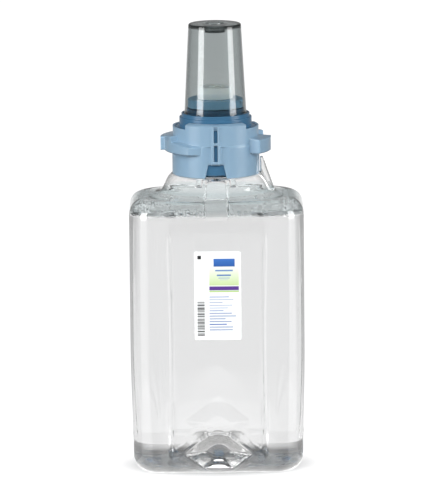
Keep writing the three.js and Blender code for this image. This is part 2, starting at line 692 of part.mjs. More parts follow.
function snapCollar() {
  const land = box(
    collarSkirtR,
    2 * LAND_CUT,
    COLLAR_SKIRT_HEIGHT,
    0,
    -landY - LAND_CUT,
    collarZ + COLLAR_SKIRT_HEIGHT / 2,
  );
  const ribDepth = ribY - collarBoreR - SEAT_GAP;
  const rib = (half, footZ, topZ) =>
    box(2 * half, ribDepth, topZ - footZ, 0, -ribY + ribDepth / 2, (footZ + topZ) / 2);
  const ribs = [rib(RIB_FOOT_HALF, collarZ + NOTCH_HEIGHT, seamZ), rib(RIB_TOP_HALF, seamZ, wallTopZ)];
  const windows = frontAndBack(
    arcBlock(ringR, lugR, WINDOW_START, WINDOW_SPAN, lipFootZ + SEAT_GAP, lipTopZ + SEAT_GAP),
  );
  const shell = cut(collarShell(), [land, ...windows]);
  return cut(union([shell, ...ribs, ...frontAndBack(bayonetLug())]), tearLineTools());
}

// Pump housing: a flange on the neck's rim, a skirt that snaps over the neck's bead, a ring for the dust cap,
// a plug and an air cylinder inside the neck, and a liquid cylinder that stands up from the cylinder's floor.

function neckGasket() {
  const [innerR, topZ] = [NECK_R - GASKET_WIDTH, neckRimZ + GASKET_THICKNESS];
  return revolve([
    [innerR, neckRimZ],
    [NECK_R, neckRimZ],
    [NECK_R, topZ],
    [innerR, topZ],
  ]);
}

function pumpHousing() {
  const ringStepZ = flangeZ + RING_HEIGHT;
  const airWallR = airBoreR + CYLINDER_WALL;
  const form = revolve([
    [housingSkirtBoreR, flangeZ],
    [housingSkirtBoreR, housingHookZ],
    [housingSkirtBoreR - HOOK_REACH, housingHookZ],
    [housingSkirtBoreR - HOOK_REACH, housingHookZ - HOOK_HEIGHT / 2],
    [housingSkirtBoreR, housingSkirtZ],
    [housingSkirtR, housingSkirtZ],
    [housingSkirtR, flangeZ + FLANGE_THICKNESS],
    [ringR, flangeZ + FLANGE_THICKNESS + LIP_SLOPE - SEAT_GAP],
    [ringR, ringStepZ],
    [ringR - RING_STEP, ringStepZ],
    [ringR - RING_STEP, ringTopZ],
    [ringBoreR, ringTopZ],
    [ringBoreR, deckZ],
    [airBoreR, deckZ],
    [airBoreR, floorZ],
    [liquidWallR, floorZ],
    [liquidWallR, liquidTopZ],
    [LIQUID_BORE_R, liquidTopZ],
    [LIQUID_BORE_R, floorZ],
    [0, floorZ],
    [0, floorZ - FLOOR_THICKNESS],
    [airWallR, floorZ - FLOOR_THICKNESS],
    [airWallR, flangeZ - PLUG_DEPTH - PLUG_LEAD],
    [plugR, flangeZ - PLUG_DEPTH],
    [plugR, flangeZ],
  ]);
  const [bottomZ, topZ] = [floorZ - 2 * FLOOR_THICKNESS, floorZ + FLOOR_THICKNESS];
  return cut(form, [
    ...ports(INLET_COUNT, INLET_R, inletCircleR, bottomZ, topZ),
    ...ports(1, VALVE_STEM_R + SEAT_GAP, 0, bottomZ, topZ),
  ]);
}

// Umbrella valve: its cap lies over the inlets inside the cylinder, and its barb holds under the floor.
function inletValve() {
  const underZ = floorZ - FLOOR_THICKNESS;
  return revolve(
    [
      [0, floorZ + VALVE_CAP_HEIGHT],
      [valveCapR, floorZ + VALVE_CAP_HEIGHT / 3],
      [valveCapR, floorZ],
      [VALVE_STEM_R, floorZ],
      [VALVE_STEM_R, underZ],
      [VALVE_BARB_R, underZ],
      [VALVE_STEM_R / 2, underZ - VALVE_BARB_HEIGHT],
      [0, underZ - VALVE_BARB_HEIGHT],
    ],
    SMALL_ROUND,
  );
}

// Ring that keeps the piston in, guides its neck and carries the dust cap on its rim.
function pistonRetainer() {
  const guideR = neckTubeR + SEAT_GAP;
  return revolve([
    [guideR, deckZ],
    [retainerR, deckZ],
    [retainerR, capSeatZ],
    [capSeatBoreR, capSeatZ],
    [capSeatBoreR, deckZ + RETAINER_DECK],
    [guideR, deckZ + RETAINER_DECK],
  ]);
}

// Piston and what rides on it

const sealZ = headZ + (HEAD_HEIGHT - SEAL_HEIGHT) / 2;

function piston() {
  const grooveR = headR - SEAL_GROOVE;
  const form = revolve([
    [STEM_BORE_R, stemZ],
    [stemR, stemZ],
    [stemR, stemSealZ],
    [stemR - STEM_GROOVE, stemSealZ],
    [stemR - STEM_GROOVE, stemSealZ + STEM_SEAL_HEIGHT],
    [stemR, stemSealZ + STEM_SEAL_HEIGHT],
    [stemR, headZ],
    [headR, headZ],
    [headR, sealZ],
    [grooveR, sealZ],
    [grooveR, sealZ + SEAL_HEIGHT],
    [headR, sealZ + SEAL_HEIGHT],
    [headR, headTopZ],
    [neckTubeR, headTopZ],
    [neckTubeR, discZ],
    [discR, discZ],
    [discR, discTopZ - DISC_EDGE],
    [discR - DISC_EDGE, discTopZ],
    [cartridgeSeatR, discTopZ],
    [cartridgeSeatR, cartridgeZ],
    [mixingBoreR, cartridgeZ],
    [mixingBoreR, mixingFloorZ],
    [STEM_BORE_R, mixingFloorZ],
  ]);
  return cut(form, [
    ...ports(AIR_PORT_COUNT, AIR_PORT_R, airPortCircleR, headZ - SEAT_GAP, mixingFloorZ + SEAT_GAP),
    ...ports(AIR_PORT_COUNT, AIR_PORT_R, intakeCircleR, headZ - SEAT_GAP, headTopZ + SEAT_GAP),
  ]);
}

// A ring seal with a lip at each edge that wipes the bore.
function lipSeal(innerR, boreR, z, height, sides = ROUND) {
  const lipR = boreR - RUNNING_GAP;
  const waistR = (innerR + lipR) / 2;
  const profile = [
    [innerR, z],
    [lipR, z],
    [waistR, z + height / 2],
    [lipR, z + height],
    [innerR, z + height],
  ];
  return revolve(profile, sides);
}

function airPistonSeal() {
  const innerR = headR - SEAL_GROOVE + RUNNING_GAP;
  return lipSeal(innerR, airBoreR, sealZ + RUNNING_GAP, SEAL_HEIGHT - 2 * RUNNING_GAP);
}

function liquidPistonSeal() {
  const innerR = stemR - STEM_GROOVE + RUNNING_GAP;
  const height = STEM_SEAL_HEIGHT - 2 * RUNNING_GAP;
  return lipSeal(innerR, LIQUID_BORE_R, stemSealZ + RUNNING_GAP, height, SMALL_ROUND);
}

// Flap under the head that lets air in through the intake ports as the piston rises.
function airIntakeFlap() {
  return revolve([
    [intakeCircleR - FLAP_HALF_WIDTH, headZ - FLAP_THICKNESS],
    [intakeCircleR + FLAP_HALF_WIDTH, headZ - FLAP_THICKNESS],
    [intakeCircleR + FLAP_HALF_WIDTH, headZ],
    [intakeCircleR - FLAP_HALF_WIDTH, headZ],
  ]);
}

// Bill valve over the stem's bore, which keeps liquid from running back.
function liquidOutletValve() {
  const flangeTopZ = mixingFloorZ + BILL_HEIGHT / 3;
  return revolve(
    [
      [0, mixingFloorZ],
      [billFlangeR, mixingFloorZ],
      [billFlangeR, flangeTopZ],
      [BILL_R, flangeTopZ],
      [BILL_R / 2, mixingFloorZ + BILL_HEIGHT],
      [0, mixingFloorZ + BILL_HEIGHT],
    ],
    SMALL_ROUND,
  );
}

const meshR = (cartridgeR + cartridgeBoreR) / 2;
const meshSeat = MESH_THICKNESS + RUNNING_GAP;

function meshCartridge() {
  return revolve(
    [
      [meshR, cartridgeZ],
      [cartridgeR, cartridgeZ],
      [cartridgeR, cartridgeTopZ],
      [meshR, cartridgeTopZ],
      [meshR, cartridgeTopZ - meshSeat],
      [cartridgeBoreR, cartridgeTopZ - meshSeat],
      [cartridgeBoreR, cartridgeZ + meshSeat],
      [meshR, cartridgeZ + meshSeat],
    ],
    SMALL_ROUND,
  );
}

// Woven mesh, drawn as the thin disc that it fills.
function meshScreen(z) {
  const radius = meshR - RUNNING_GAP;
  return revolve(
    [
      [0, z],
      [radius, z],
      [radius, z + MESH_THICKNESS],
      [0, z + MESH_THICKNESS],
    ],
    SMALL_ROUND,
  );
}

function outletNozzle() {
  const spigotR = cartridgeR;
  const topZ = discTopZ + NOZZLE_HEIGHT;
  return revolve(
    [
      [NOZZLE_BORE_R, discTopZ - NOZZLE_SPIGOT],
      [spigotR, discTopZ - NOZZLE_SPIGOT],
      [spigotR, discTopZ],
      [NOZZLE_R, discTopZ],
      [NOZZLE_R, discTopZ + NOZZLE_HEIGHT / 2],
      [NOZZLE_TOP_R, topZ],
      [NOZZLE_BORE_R, topZ],
    ],
    SMALL_ROUND,
  );
}

class Helix extends THREE.Curve {
  constructor(radius, bottomZ, topZ, turns) {
    super();
    Object.assign(this, { radius, bottomZ, topZ, turns });
  }

  getPoint(share, target = new THREE.Vector3()) {
    const angle = 2 * Math.PI * this.turns * share;
    const z = this.bottomZ + (this.topZ - this.bottomZ) * share;
    return target.set(this.radius * Math.cos(angle), this.radius * Math.sin(angle), z);
  }
}

function returnSpring() {
  const clearance = SPRING_WIRE_R + SEAT_GAP;
  const path = new Helix(springR, floorZ + clearance, headZ - clearance, SPRING_TURNS);
  const wire = new THREE.Shape();
  for (let side = 0; side < SPRING_WIRE_SIDES; side++) {
    const angle = (2 * Math.PI * side) / SPRING_WIRE_SIDES;
    const corner = [SPRING_WIRE_R * Math.cos(angle), SPRING_WIRE_R * Math.sin(angle)];
    if (side === 0) wire.moveTo(...corner);
    else wire.lineTo(...corner);
  }
  const steps = SPRING_TURNS * SPRING_STEPS_PER_TURN;
  return toSolid(new THREE.ExtrudeGeometry(wire, { steps, extrudePath: path, bevelEnabled: false }));
}

// Dust cap: a tapered cup with a snap bead at its foot and a small well moulded into its top.
function dustCap() {
  const radiusAt = (z) => capFootR + ((capTopR - capFootR) * (z - capSeatZ)) / CAP_HEIGHT;
  const beadZs = [0, 0.5, 1].map((share) => capSeatZ + CAP_BEAD_RISE * share);
  const ceilingZ = capTopZ - CAP_TOP_WALL;
  const wellZ = capTopZ - CAP_WELL_DEPTH;
  const wellWallR = CAP_WELL_R + CAP_WALL;
  const edgeBite = CAP_EDGE * (1 - Math.SQRT1_2); // at the middle of the rounded edge
  return revolve([
    [radiusAt(capSeatZ) - CAP_WALL, capSeatZ],
    [radiusAt(beadZs[0]), beadZs[0]],
    [radiusAt(beadZs[1]) + CAP_BEAD, beadZs[1]],
    [radiusAt(beadZs[2]), beadZs[2]],
    [radiusAt(capTopZ - CAP_EDGE), capTopZ - CAP_EDGE],
    [radiusAt(capTopZ) - edgeBite, capTopZ - edgeBite],
    [radiusAt(capTopZ) - CAP_EDGE, capTopZ],
    [CAP_WELL_R, capTopZ],
    [CAP_WELL_R, wellZ],
    [0, wellZ],
    [0, wellZ - CAP_TOP_WALL],
    [wellWallR, wellZ - CAP_TOP_WALL],
    [wellWallR, ceilingZ],
    [radiusAt(ceilingZ) - CAP_WALL, ceilingZ],
  ]);
}

// Assembly

const refill = new THREE.Group();
refill.name = "hand_sanitizer_refill";

const pack = new THREE.Group();
pack.add(
  toMesh("bottle", bottle(), clearPet),
  toMesh("sanitizer_liquid", sanitizerLiquid(), sanitizer),
  toMesh("front_label", frontLabel(), labelFilm),
);

const pumpBody = new THREE.Group();
pumpBody.add(
  toMesh("snap_collar", snapCollar(), paleBlue),
  toMesh("neck_gasket", neckGasket(), foamPad),
  toMesh("pump_housing", pumpHousing(), deepBlue),
  toMesh("inlet_valve", inletValve(), silicone),
  toMesh("piston_retainer", pistonRetainer(), deepBlue),
  toMesh("return_spring", returnSpring(), steel),
);

const plunger = new THREE.Group();
plunger.add(
  toMesh("piston", piston(), deepBlue),
  toMesh("air_piston_seal", airPistonSeal(), silicone),
  toMesh("liquid_piston_seal", liquidPistonSeal(), silicone),
  toMesh("air_intake_flap", airIntakeFlap(), silicone),
  toMesh("liquid_outlet_valve", liquidOutletValve(), silicone),
  toMesh("mesh_cartridge", meshCartridge(), natural),
  toMesh("coarse_mesh", meshScreen(cartridgeZ), meshNylon),
  toMesh("fine_mesh", meshScreen(cartridgeTopZ - MESH_THICKNESS), meshNylon),
  toMesh("outlet_nozzle", outletNozzle(), natural),
);

refill.add(pack, pumpBody, plunger, toMesh("dust_cap", dustCap(), smoked));

export default refill;
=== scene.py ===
"""Looks of a foam hand sanitizer refill: clear bottle, liquid, label, bayonet collar, pump and smoked cap."""
import json
import logging
import math
from dataclasses import dataclass, field, fields
from enum import Enum

import bmesh
import bpy
import numpy as np
from mathutils import Euler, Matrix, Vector


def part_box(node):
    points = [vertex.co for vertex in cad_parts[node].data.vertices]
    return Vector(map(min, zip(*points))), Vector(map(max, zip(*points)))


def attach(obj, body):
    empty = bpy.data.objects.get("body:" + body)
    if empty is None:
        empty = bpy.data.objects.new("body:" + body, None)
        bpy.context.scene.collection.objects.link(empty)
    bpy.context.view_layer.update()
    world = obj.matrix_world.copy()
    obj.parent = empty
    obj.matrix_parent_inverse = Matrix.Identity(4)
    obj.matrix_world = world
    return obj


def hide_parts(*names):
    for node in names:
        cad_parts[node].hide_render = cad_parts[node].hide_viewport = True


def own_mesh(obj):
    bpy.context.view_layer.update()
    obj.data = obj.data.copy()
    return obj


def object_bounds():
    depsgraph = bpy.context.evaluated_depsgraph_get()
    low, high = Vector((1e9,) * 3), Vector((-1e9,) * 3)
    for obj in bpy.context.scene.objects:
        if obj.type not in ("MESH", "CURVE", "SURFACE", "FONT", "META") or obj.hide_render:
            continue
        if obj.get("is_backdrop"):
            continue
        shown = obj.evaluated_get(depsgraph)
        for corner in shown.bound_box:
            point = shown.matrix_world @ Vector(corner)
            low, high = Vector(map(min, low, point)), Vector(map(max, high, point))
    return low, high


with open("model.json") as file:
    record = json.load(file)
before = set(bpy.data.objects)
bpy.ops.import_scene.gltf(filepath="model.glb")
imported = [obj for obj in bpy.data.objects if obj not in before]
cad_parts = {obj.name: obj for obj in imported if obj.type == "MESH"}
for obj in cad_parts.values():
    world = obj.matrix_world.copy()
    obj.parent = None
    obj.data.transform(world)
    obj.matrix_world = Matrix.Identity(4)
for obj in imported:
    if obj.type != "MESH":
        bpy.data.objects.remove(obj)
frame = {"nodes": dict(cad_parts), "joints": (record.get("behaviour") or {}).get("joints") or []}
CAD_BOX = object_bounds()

LOG = logging.getLogger("refill")
MM = 0.001
FULL_TURN = 2 * math.pi
Array = np.ndarray
Colour = tuple[float, float, float, float]


class Body(str, Enum):
    """The moving bodies that a piece can ride on."""

    REFILL = "refill"
    PLUNGER = "plunger"
    CAP = "cap"


class Smoothing(Enum):
    """How a piece's faces are shaded."""

    SMOOTH = "smooth"
    WEIGHTED = "weighted"


def linear(hex_colour: str) -> Colour:
    """Turns an sRGB hex colour into linear light.

    Args:
        hex_colour: six hex digits, such as "9FBDD6".

    Returns:
        Linear red, green, blue and an alpha of 1.
    """
    srgb = np.array([int(hex_colour[i : i + 2], 16) for i in (0, 2, 4)]) / 255
    light = np.where(srgb <= 0.04045, srgb / 12.92, ((srgb + 0.055) / 1.055) ** 2.4)
    return (float(light[0]), float(light[1]), float(light[2]), 1.0)


def smoothstep(low: float, high: float, value: Array) -> Array:
    """Eases from 0 at low to 1 at high along 3t^2 - 2t^3.

    Args:
        low: where the ramp starts.
        high: where it ends.
        value: the values to ease.

    Returns:
        The eased values, from 0 to 1.
    """
    t = np.clip((value - low) / (high - low), 0, 1)
    return t * t * (3 - 2 * t)


# Materials

EASED = {"interpolation_type": "SMOOTHSTEP"}
COLOURS = {"data_type": "RGBA"}
PLASTIC_IOR = 1.5
SCATTER = (2 * MM, 2.4 * MM, 3 * MM)  # how far red, green and blue light go inside a milky plastic


def add_node(
    tree: bpy.types.NodeTree, kind: str, *values: object, settings: dict[str, str] | None = None, **inputs: object
) -> bpy.types.Node:
    """Adds one shader node and fills its sockets.

    What goes in a socket is a constant, an output socket, or a node, which gives its first output.

    Args:
        tree: the tree that the node goes in.
        kind: the node's type without ShaderNode, then its operation after a colon, if it has one.
        values: what goes in its first sockets, in order.
        settings: other properties of the node, by name.
        inputs: socket names, with _ for a space, and what goes in each.

    Returns:
        The new node.
    """
    kind, _, operation = kind.partition(":")
    node = tree.nodes.new(f"ShaderNode{kind}")
    if operation:
        node.operation = operation
    for name, value in (settings or {}).items():
        setattr(node, name, value)
    named = [(name.replace("_", " "), value) for name, value in inputs.items()]
    for key, value in [*enumerate(values), *named]:
        if isinstance(value, bpy.types.Node):
            value = next(output for output in value.outputs if output.enabled)
        if isinstance(value, bpy.types.NodeSocket):
            tree.links.new(value, node.inputs[key])
        else:
            node.inputs[key].default_value = value
    return node


def new_material(name: str) -> tuple[bpy.types.Material, bpy.types.NodeTree, bpy.types.Node]:
    """Makes an empty node material with its output.

    Args:
        name: the material's name.

    Returns:
        The material, its tree and its output node.
    """
    material = bpy.data.materials.new(name)
    material.use_nodes = True
    tree = material.node_tree
    tree.nodes.clear()
    return material, tree, add_node(tree, "OutputMaterial")


def object_noise(tree: bpy.types.NodeTree, grain_mm: float, detail: float) -> bpy.types.Node:
    """Noise on the piece's own coordinates, from 0 to 1.

    Args:
        tree: the tree that it goes in.
        grain_mm: the size of one blotch.
        detail: octaves of finer noise.

    Returns:
        The noise node.
    """
    place = add_node(tree, "TexCoord").outputs["Object"]
    return add_node(tree, "TexNoise", Vector=place, Scale=1 / (grain_mm * MM), Detail=detail)


@dataclass(frozen=True)
class Finish:
    """A material of one Principled shader, which each kind of finish fills in its own way."""

    name: str

    def inputs(self, tree: bpy.types.NodeTree) -> dict[str, object]:
        """What goes in the shader's sockets, by name."""
        raise NotImplementedError

    def build(self) -> bpy.types.Material:
        """Makes the material."""
        material, tree, output = new_material(self.name)
        shader = add_node(tree, "BsdfPrincipled", **self.inputs(tree))
        tree.links.new(shader.outputs["BSDF"], output.inputs["Surface"])
        return material


@dataclass(frozen=True)
class ClearPlastic(Finish):
    """A clear moulded or blown plastic, or a clear liquid, smooth enough to see through."""

    tint: str
    ior: float
    roughness: float = 0.0
    ripple_mm: float = 0.0  # spacing of the mould's ripples
    ripple_height_mm: float = 0.0
    smoke: str = ""  # colour of the dye in its depth
    smoke_per_mm: float = 0.0
    thick_tint: str = ""  # painted shade: greyer tint of the band over the shoulder, where the wall was stretched least
    thick_middle_mm: float = 0.0  # height of that band's middle
    thick_half_mm: tuple[float, float] = (0.0, 0.0)  # half heights with all of the tint, and with none

    def inputs(self, tree: bpy.types.NodeTree) -> dict[str, object]:
        """Full transmission, with a shallow ripple in the surface."""
        made = {
            "Base_Color": self.banded(tree) if self.thick_tint else linear(self.tint),
            "Roughness": self.roughness,
            "IOR": self.ior,
            "Transmission_Weight": 1.0,
        }
        if self.ripple_mm:
            ripple = object_noise(tree, self.ripple_mm, 1.0)
            made["Normal"] = add_node(tree, "Bump", Strength=1.0, Distance=self.ripple_height_mm * MM, Height=ripple)
        return made

    def banded(self, tree: bpy.types.NodeTree) -> bpy.types.Node:
        """The tint, greyer in the band over the shoulder as painted shade, where the wall is also thicker."""
        place = add_node(tree, "TexCoord").outputs["Object"]
        height = add_node(tree, "SeparateXYZ", place).outputs["Z"]
        away = add_node(tree, "Math:ABSOLUTE", add_node(tree, "Math:SUBTRACT", height, self.thick_middle_mm * MM))
        full, none = (half * MM for half in self.thick_half_mm)
        share = add_node(tree, "MapRange", away, full, none, 1.0, 0.0, settings=EASED)
        return add_node(tree, "Mix", settings=COLOURS, Factor=share, A=linear(self.tint), B=linear(self.thick_tint))

    def build(self) -> bpy.types.Material:
        """Makes the material, with the dye in its depth."""
        material = super().build()
        if self.smoke:
            tree = material.node_tree
            density = self.smoke_per_mm / MM
            dye = add_node(tree, "VolumeAbsorption", Color=linear(self.smoke), Density=density)
            tree.links.new(dye.outputs["Volume"], tree.get_output_node("ALL").inputs["Volume"])
        return material


@dataclass(frozen=True)
class MouldedPlastic(Finish):
    """An opaque moulded plastic with a faint grain and slightly uneven colour."""

    colour: str
    shade: str  # the darker colour of its blotches
    roughness: float
    gloss_spread: float = 0.15  # how uneven its gloss is
    blotch_mm: float = 9.0
    grain_mm: float = 0.5
    grain_height_mm: float = 0.01
    grain_strength: float = 0.6
    glow: float = 0.0  # share of light that scatters inside

    def inputs(self, tree: bpy.types.NodeTree) -> dict[str, object]:
        """Blotched colour, uneven gloss and a fine mould grain."""
        blotch = object_noise(tree, self.blotch_mm, 2.0)
        grain = object_noise(tree, self.grain_mm, 1.0)
        low, high = (self.roughness * (1 + sign * self.gloss_spread) for sign in (-1, 1))
        height = self.grain_height_mm * MM
        shade, colour = linear(self.shade), linear(self.colour)
        return {
            "Base_Color": add_node(tree, "Mix", settings=COLOURS, Factor=blotch, A=shade, B=colour),
            "Roughness": add_node(tree, "MapRange", blotch, To_Min=low, To_Max=high),
            "IOR": PLASTIC_IOR,
            "Normal": add_node(tree, "Bump", Strength=self.grain_strength, Distance=height, Height=grain),
            "Subsurface_Weight": self.glow,
            "Subsurface_Radius": SCATTER,
            "Subsurface_Scale": 1.0,
        }


@dataclass(frozen=True)
class PrintedFilm(Finish):
    """White label film that takes its inks from the piece's own colour attribute."""

    attribute: str
    roughness: float = 0.38
    grain_mm: float = 0.4
    grain_height_mm: float = 0.01
    grain_strength: float = 0.4

    def inputs(self, tree: bpy.types.NodeTree) -> dict[str, object]:
        """Printed colour under a satin film with a faint paper grain."""
        grain = object_noise(tree, self.grain_mm, 2.0)
        height = self.grain_height_mm * MM
        return {
            "Base_Color": add_node(tree, "Attribute", settings={"attribute_name": self.attribute}),
            "Roughness": self.roughness,
            "IOR": PLASTIC_IOR,
            "Normal": add_node(tree, "Bump", Strength=self.grain_strength, Distance=height, Height=grain),
        }


@dataclass(frozen=True)
class DrawnSteel(Finish):
    """Bright spring wire with fine draw marks."""

    colour: str
    roughness: tuple[float, float] = (0.196, 0.392)
    mark_mm: float = 0.6

    def inputs(self, tree: bpy.types.NodeTree) -> dict[str, object]:
        """Metal with uneven gloss from drawing."""
        marks = object_noise(tree, self.mark_mm, 3.0)
        low, high = self.roughness
        return {
            "Base_Color": linear(self.colour),
            "Metallic": 1.0,
            "Roughness": add_node(tree, "MapRange", marks, To_Min=low, To_Max=high),
        }


@dataclass(frozen=True)
class WovenMesh(Finish):
    """Nylon mesh: threads drawn coarser than the real 0.1 mm weave so that they show."""

    thread: str
    gap: str
    pitch_mm: float
    roughness: float = 0.6
    thread_height_mm: float = 0.05
    thread_strength: float = 0.8

    def inputs(self, tree: bpy.types.NodeTree) -> dict[str, object]:
        """Two crossed sets of threads with darker gaps. A wave repeats 20 times in a turn of its scale."""
        place = add_node(tree, "TexCoord").outputs["Object"]
        scale = FULL_TURN / (20 * self.pitch_mm * MM)
        warp, weft = (
            add_node(tree, "TexWave", place, scale, settings={"bands_direction": axis}).outputs["Fac"] for axis in "XY"
        )
        weave = add_node(tree, "Math:MAXIMUM", warp, weft)
        height = self.thread_height_mm * MM
        gap, thread = linear(self.gap), linear(self.thread)
        return {
            "Base_Color": add_node(tree, "Mix", settings=COLOURS, Factor=weave, A=gap, B=thread),
            "Roughness": self.roughness,
            "Normal": add_node(tree, "Bump", Strength=self.thread_strength, Distance=height, Height=weave),
        }


# Blown PET: colourless and bright, with the long soft ripples of a blow mould, and a thicker shoulder tinted greyer as
# painted shade.
BLOWN_PET = ClearPlastic(
    "blown clear PET",
    "FDFDFD",
    1.57,
    ripple_mm=22,
    ripple_height_mm=0.05,
    thick_tint="E1E8E9",
    thick_middle_mm=172.0,
    thick_half_mm=(4.0, 9.0),
)
# Alcohol and water: perfectly clear, bends light like a lens behind the wall.
SANITIZER = ClearPlastic("alcohol sanitizer", "FEFEFE", 1.36)
# Thin bubble film: bright rim, clear middle.
BUBBLE_FILM = ClearPlastic("bubble film", "FFFFFF", 1.33)
# Smoked polypropylene: glossy grey that dims what stands behind it.
SMOKED_CAP = ClearPlastic("smoked clear polypropylene", "D9DDDD", 1.49, 0.02, smoke="004B4B", smoke_per_mm=0.07)
# Pale blue polypropylene: soft satin, a little light passes through thin edges.
PALE_BLUE = MouldedPlastic("pale blue polypropylene", "88A5BB", "819EB5", 0.22, glow=0.15)
# Deep blue polypropylene: darker, satin to glossy.
DEEP_BLUE = MouldedPlastic("deep blue polypropylene", "3A6686", "35607F", 0.22)
# The same deep blue, painted lighter as painted light, since little light reaches the piston inside the smoked cap.
LIT_DEEP_BLUE = MouldedPlastic("mid blue polypropylene", "76A4C0", "6F9DB9", 0.22)
# Natural polypropylene: milky, uncoloured.
NATURAL = MouldedPlastic("natural polypropylene", "E6EAE8", "DDE2E0", 0.38, glow=0.2)
# Silicone rubber: milky and matt.
SILICONE = MouldedPlastic("milky silicone rubber", "DCE1E3", "D2D8DB", 0.55, glow=0.1)
# Foamed polyethylene: white, matt, with small open cells.
FOAM_PAD = MouldedPlastic("white polyethylene foam", "F3F3EF", "E8E8E2", 0.8, grain_mm=0.9, grain_height_mm=0.12)
# Woven nylon: off-white threads with grey gaps.
NYLON_COARSE = WovenMesh("coarse nylon mesh", "F2F1EA", "B9BBB6", 0.9)
NYLON_FINE = WovenMesh("fine nylon mesh", "F2F1EA", "C4C6C1", 0.6)
# Stainless wire: bright grey metal with a streaky gloss.
SPRING_WIRE = DrawnSteel("drawn stainless spring wire", "C2C5C8")
# Label film: satin white under flat inks.
LABEL_FILM = PrintedFilm("white printed polypropylene film", "print")
# The label's gummed side: plain white, seen through the bottle from behind.
LABEL_BACKING = MouldedPlastic("white label backing", "F4F6F6", "EEF1F1", 0.5)


# Meshes from arrays


@dataclass
class Surface:
    """Points and faces of one mesh, in millimetres."""

    points: Array
    faces: Array

    def joined(self, other: "Surface") -> "Surface":
        """Puts another surface into the same mesh."""
        faces = np.vstack([self.faces, other.faces + len(self.points)])
        return Surface(np.vstack([self.points, other.points]), faces)

    @staticmethod
    def of_grid(points: Array, wrap_rows: bool = False) -> "Surface":
        """The surface of a grid of points (level, round, xyz) that closes on itself round each level."""
        return Surface(points.reshape(-1, 3), grid_faces(*points.shape[:2], wrap_rows))


def grid_faces(rows: int, columns: int, wrap_rows: bool = False) -> Array:
    """Quads of a grid whose columns close on themselves.

    Face (i, k) joins points (i, k), (i, k + 1), (i + 1, k + 1) and (i + 1, k).

    Args:
        rows: levels of points.
        columns: points round each level.
        wrap_rows: whether the last level joins the first.

    Returns:
        One row of four point numbers for each face.
    """
    low = np.arange(rows if wrap_rows else rows - 1)[:, None]
    high = (low + 1) % rows
    here = np.arange(columns)[None, :]
    after = (here + 1) % columns
    quads = [low * columns + here, low * columns + after, high * columns + after, high * columns + here]
    return np.stack(quads, axis=-1).reshape(-1, 4)


ROUND_LIMIT = 0.45  # largest share of an edge that one rounding takes


def rounded_outline(corners: list[tuple[float, float]], radius: float, steps: int = 4) -> Array:
    """Rounds each corner of a closed outline.

    A corner P with neighbours a radius away at A and B becomes the curve
    (1 - s)^2 A + 2 s (1 - s) P + s^2 B. A reach is never over its limit's share of an edge.

    Args:
        corners: the outline's corners in order.
        radius: how far the rounding reaches along each edge.
        steps: spans in each rounding.

    Returns:
        The points of the rounded outline.
    """
    here = np.array(corners, float)
    before, after = np.roll(here, 1, axis=0), np.roll(here, -1, axis=0)
    s = np.linspace(0, 1, steps + 1)[None, :, None]

    def towards(other: Array) -> Array:
        """The point on the edge towards a neighbour where the rounding starts."""
        edge = other - here
        length = np.linalg.norm(edge, axis=1, keepdims=True)
        return here + edge / length * np.minimum(radius, ROUND_LIMIT * length)

    start, end, middle = towards(before)[:, None], towards(after)[:, None], here[:, None]
    curve = (1 - s) ** 2 * start + 2 * s * (1 - s) * middle + s**2 * end
    return curve.reshape(-1, 2)


def revolved(corners: list[tuple[float, float]], radius: float, sides: int = 128) -> Surface:
    """Turns a rounded outline of (radius, z) corners about the Z axis.

    Point (i, k) is (r_i cos a_k, r_i sin a_k, z_i) with a_k = 2 pi k / sides. The outline runs
    anticlockwise, so faces point out. Points that the rounding puts past the axis are held on it.

    Args:
        corners: the outline's corners.
        radius: rounding of its corners.
        sides: facets round the axis.

    Returns:
        A closed surface.
    """
    outline = rounded_outline(corners, radius)
    r, z = np.maximum(outline[:, 0], 0), outline[:, 1]
    area = np.sum(r * np.roll(z, -1) - np.roll(r, -1) * z)
    if area < 0:
        r, z = r[::-1], z[::-1]
    angle = np.arange(sides) * FULL_TURN / sides
    points = np.stack(
        [r[:, None] * np.cos(angle), r[:, None] * np.sin(angle), np.repeat(z[:, None], sides, axis=1)], axis=-1
    )
    return Surface.of_grid(points, wrap_rows=True)


def shell_with_openings(outer: Array, inner: Array, solid: Array) -> Surface:
    """A thick wall between two grids of points, open where the cell mask says so.

    Both grids run (level, round, xyz) and close on themselves round the axis. A cell that is solid
    gets its outer and inner quad, and a side quad wherever its neighbour is open or missing.

    Args:
        outer: points of the outside, levels upwards.
        inner: points of the inside, at the same levels.
        solid: which cells hold material, one level fewer than the points.

    Returns:
        A closed surface.
    """
    levels, columns = outer.shape[:2]
    number = np.arange(levels * columns).reshape(levels, columns)
    inside = number + levels * columns
    after = np.roll(number, -1, axis=1), np.roll(inside, -1, axis=1)
    o00, o01, o10, o11 = number[:-1], after[0][:-1], number[1:], after[0][1:]
    i00, i01, i10, i11 = inside[:-1], after[1][:-1], inside[1:], after[1][1:]
    empty = np.zeros((1, columns), bool)
    open_below = solid & ~np.vstack([empty, solid[:-1]])
    open_above = solid & ~np.vstack([solid[1:], empty])
    open_before = solid & ~np.roll(solid, 1, axis=1)
    open_after = solid & ~np.roll(solid, -1, axis=1)
    quads = [
        (solid, (o00, o01, o11, o10)),
        (solid, (i00, i10, i11, i01)),
        (open_below, (o00, i00, i01, o01)),
        (open_above, (o10, o11, i11, i10)),
        (open_before, (o00, o10, i10, i00)),
        (open_after, (o01, i01, i11, o11)),
    ]
    faces = np.vstack([np.stack([corner[mask] for corner in corners], axis=-1) for mask, corners in quads])
    return Surface(np.vstack([outer.reshape(-1, 3), inner.reshape(-1, 3)]), faces)


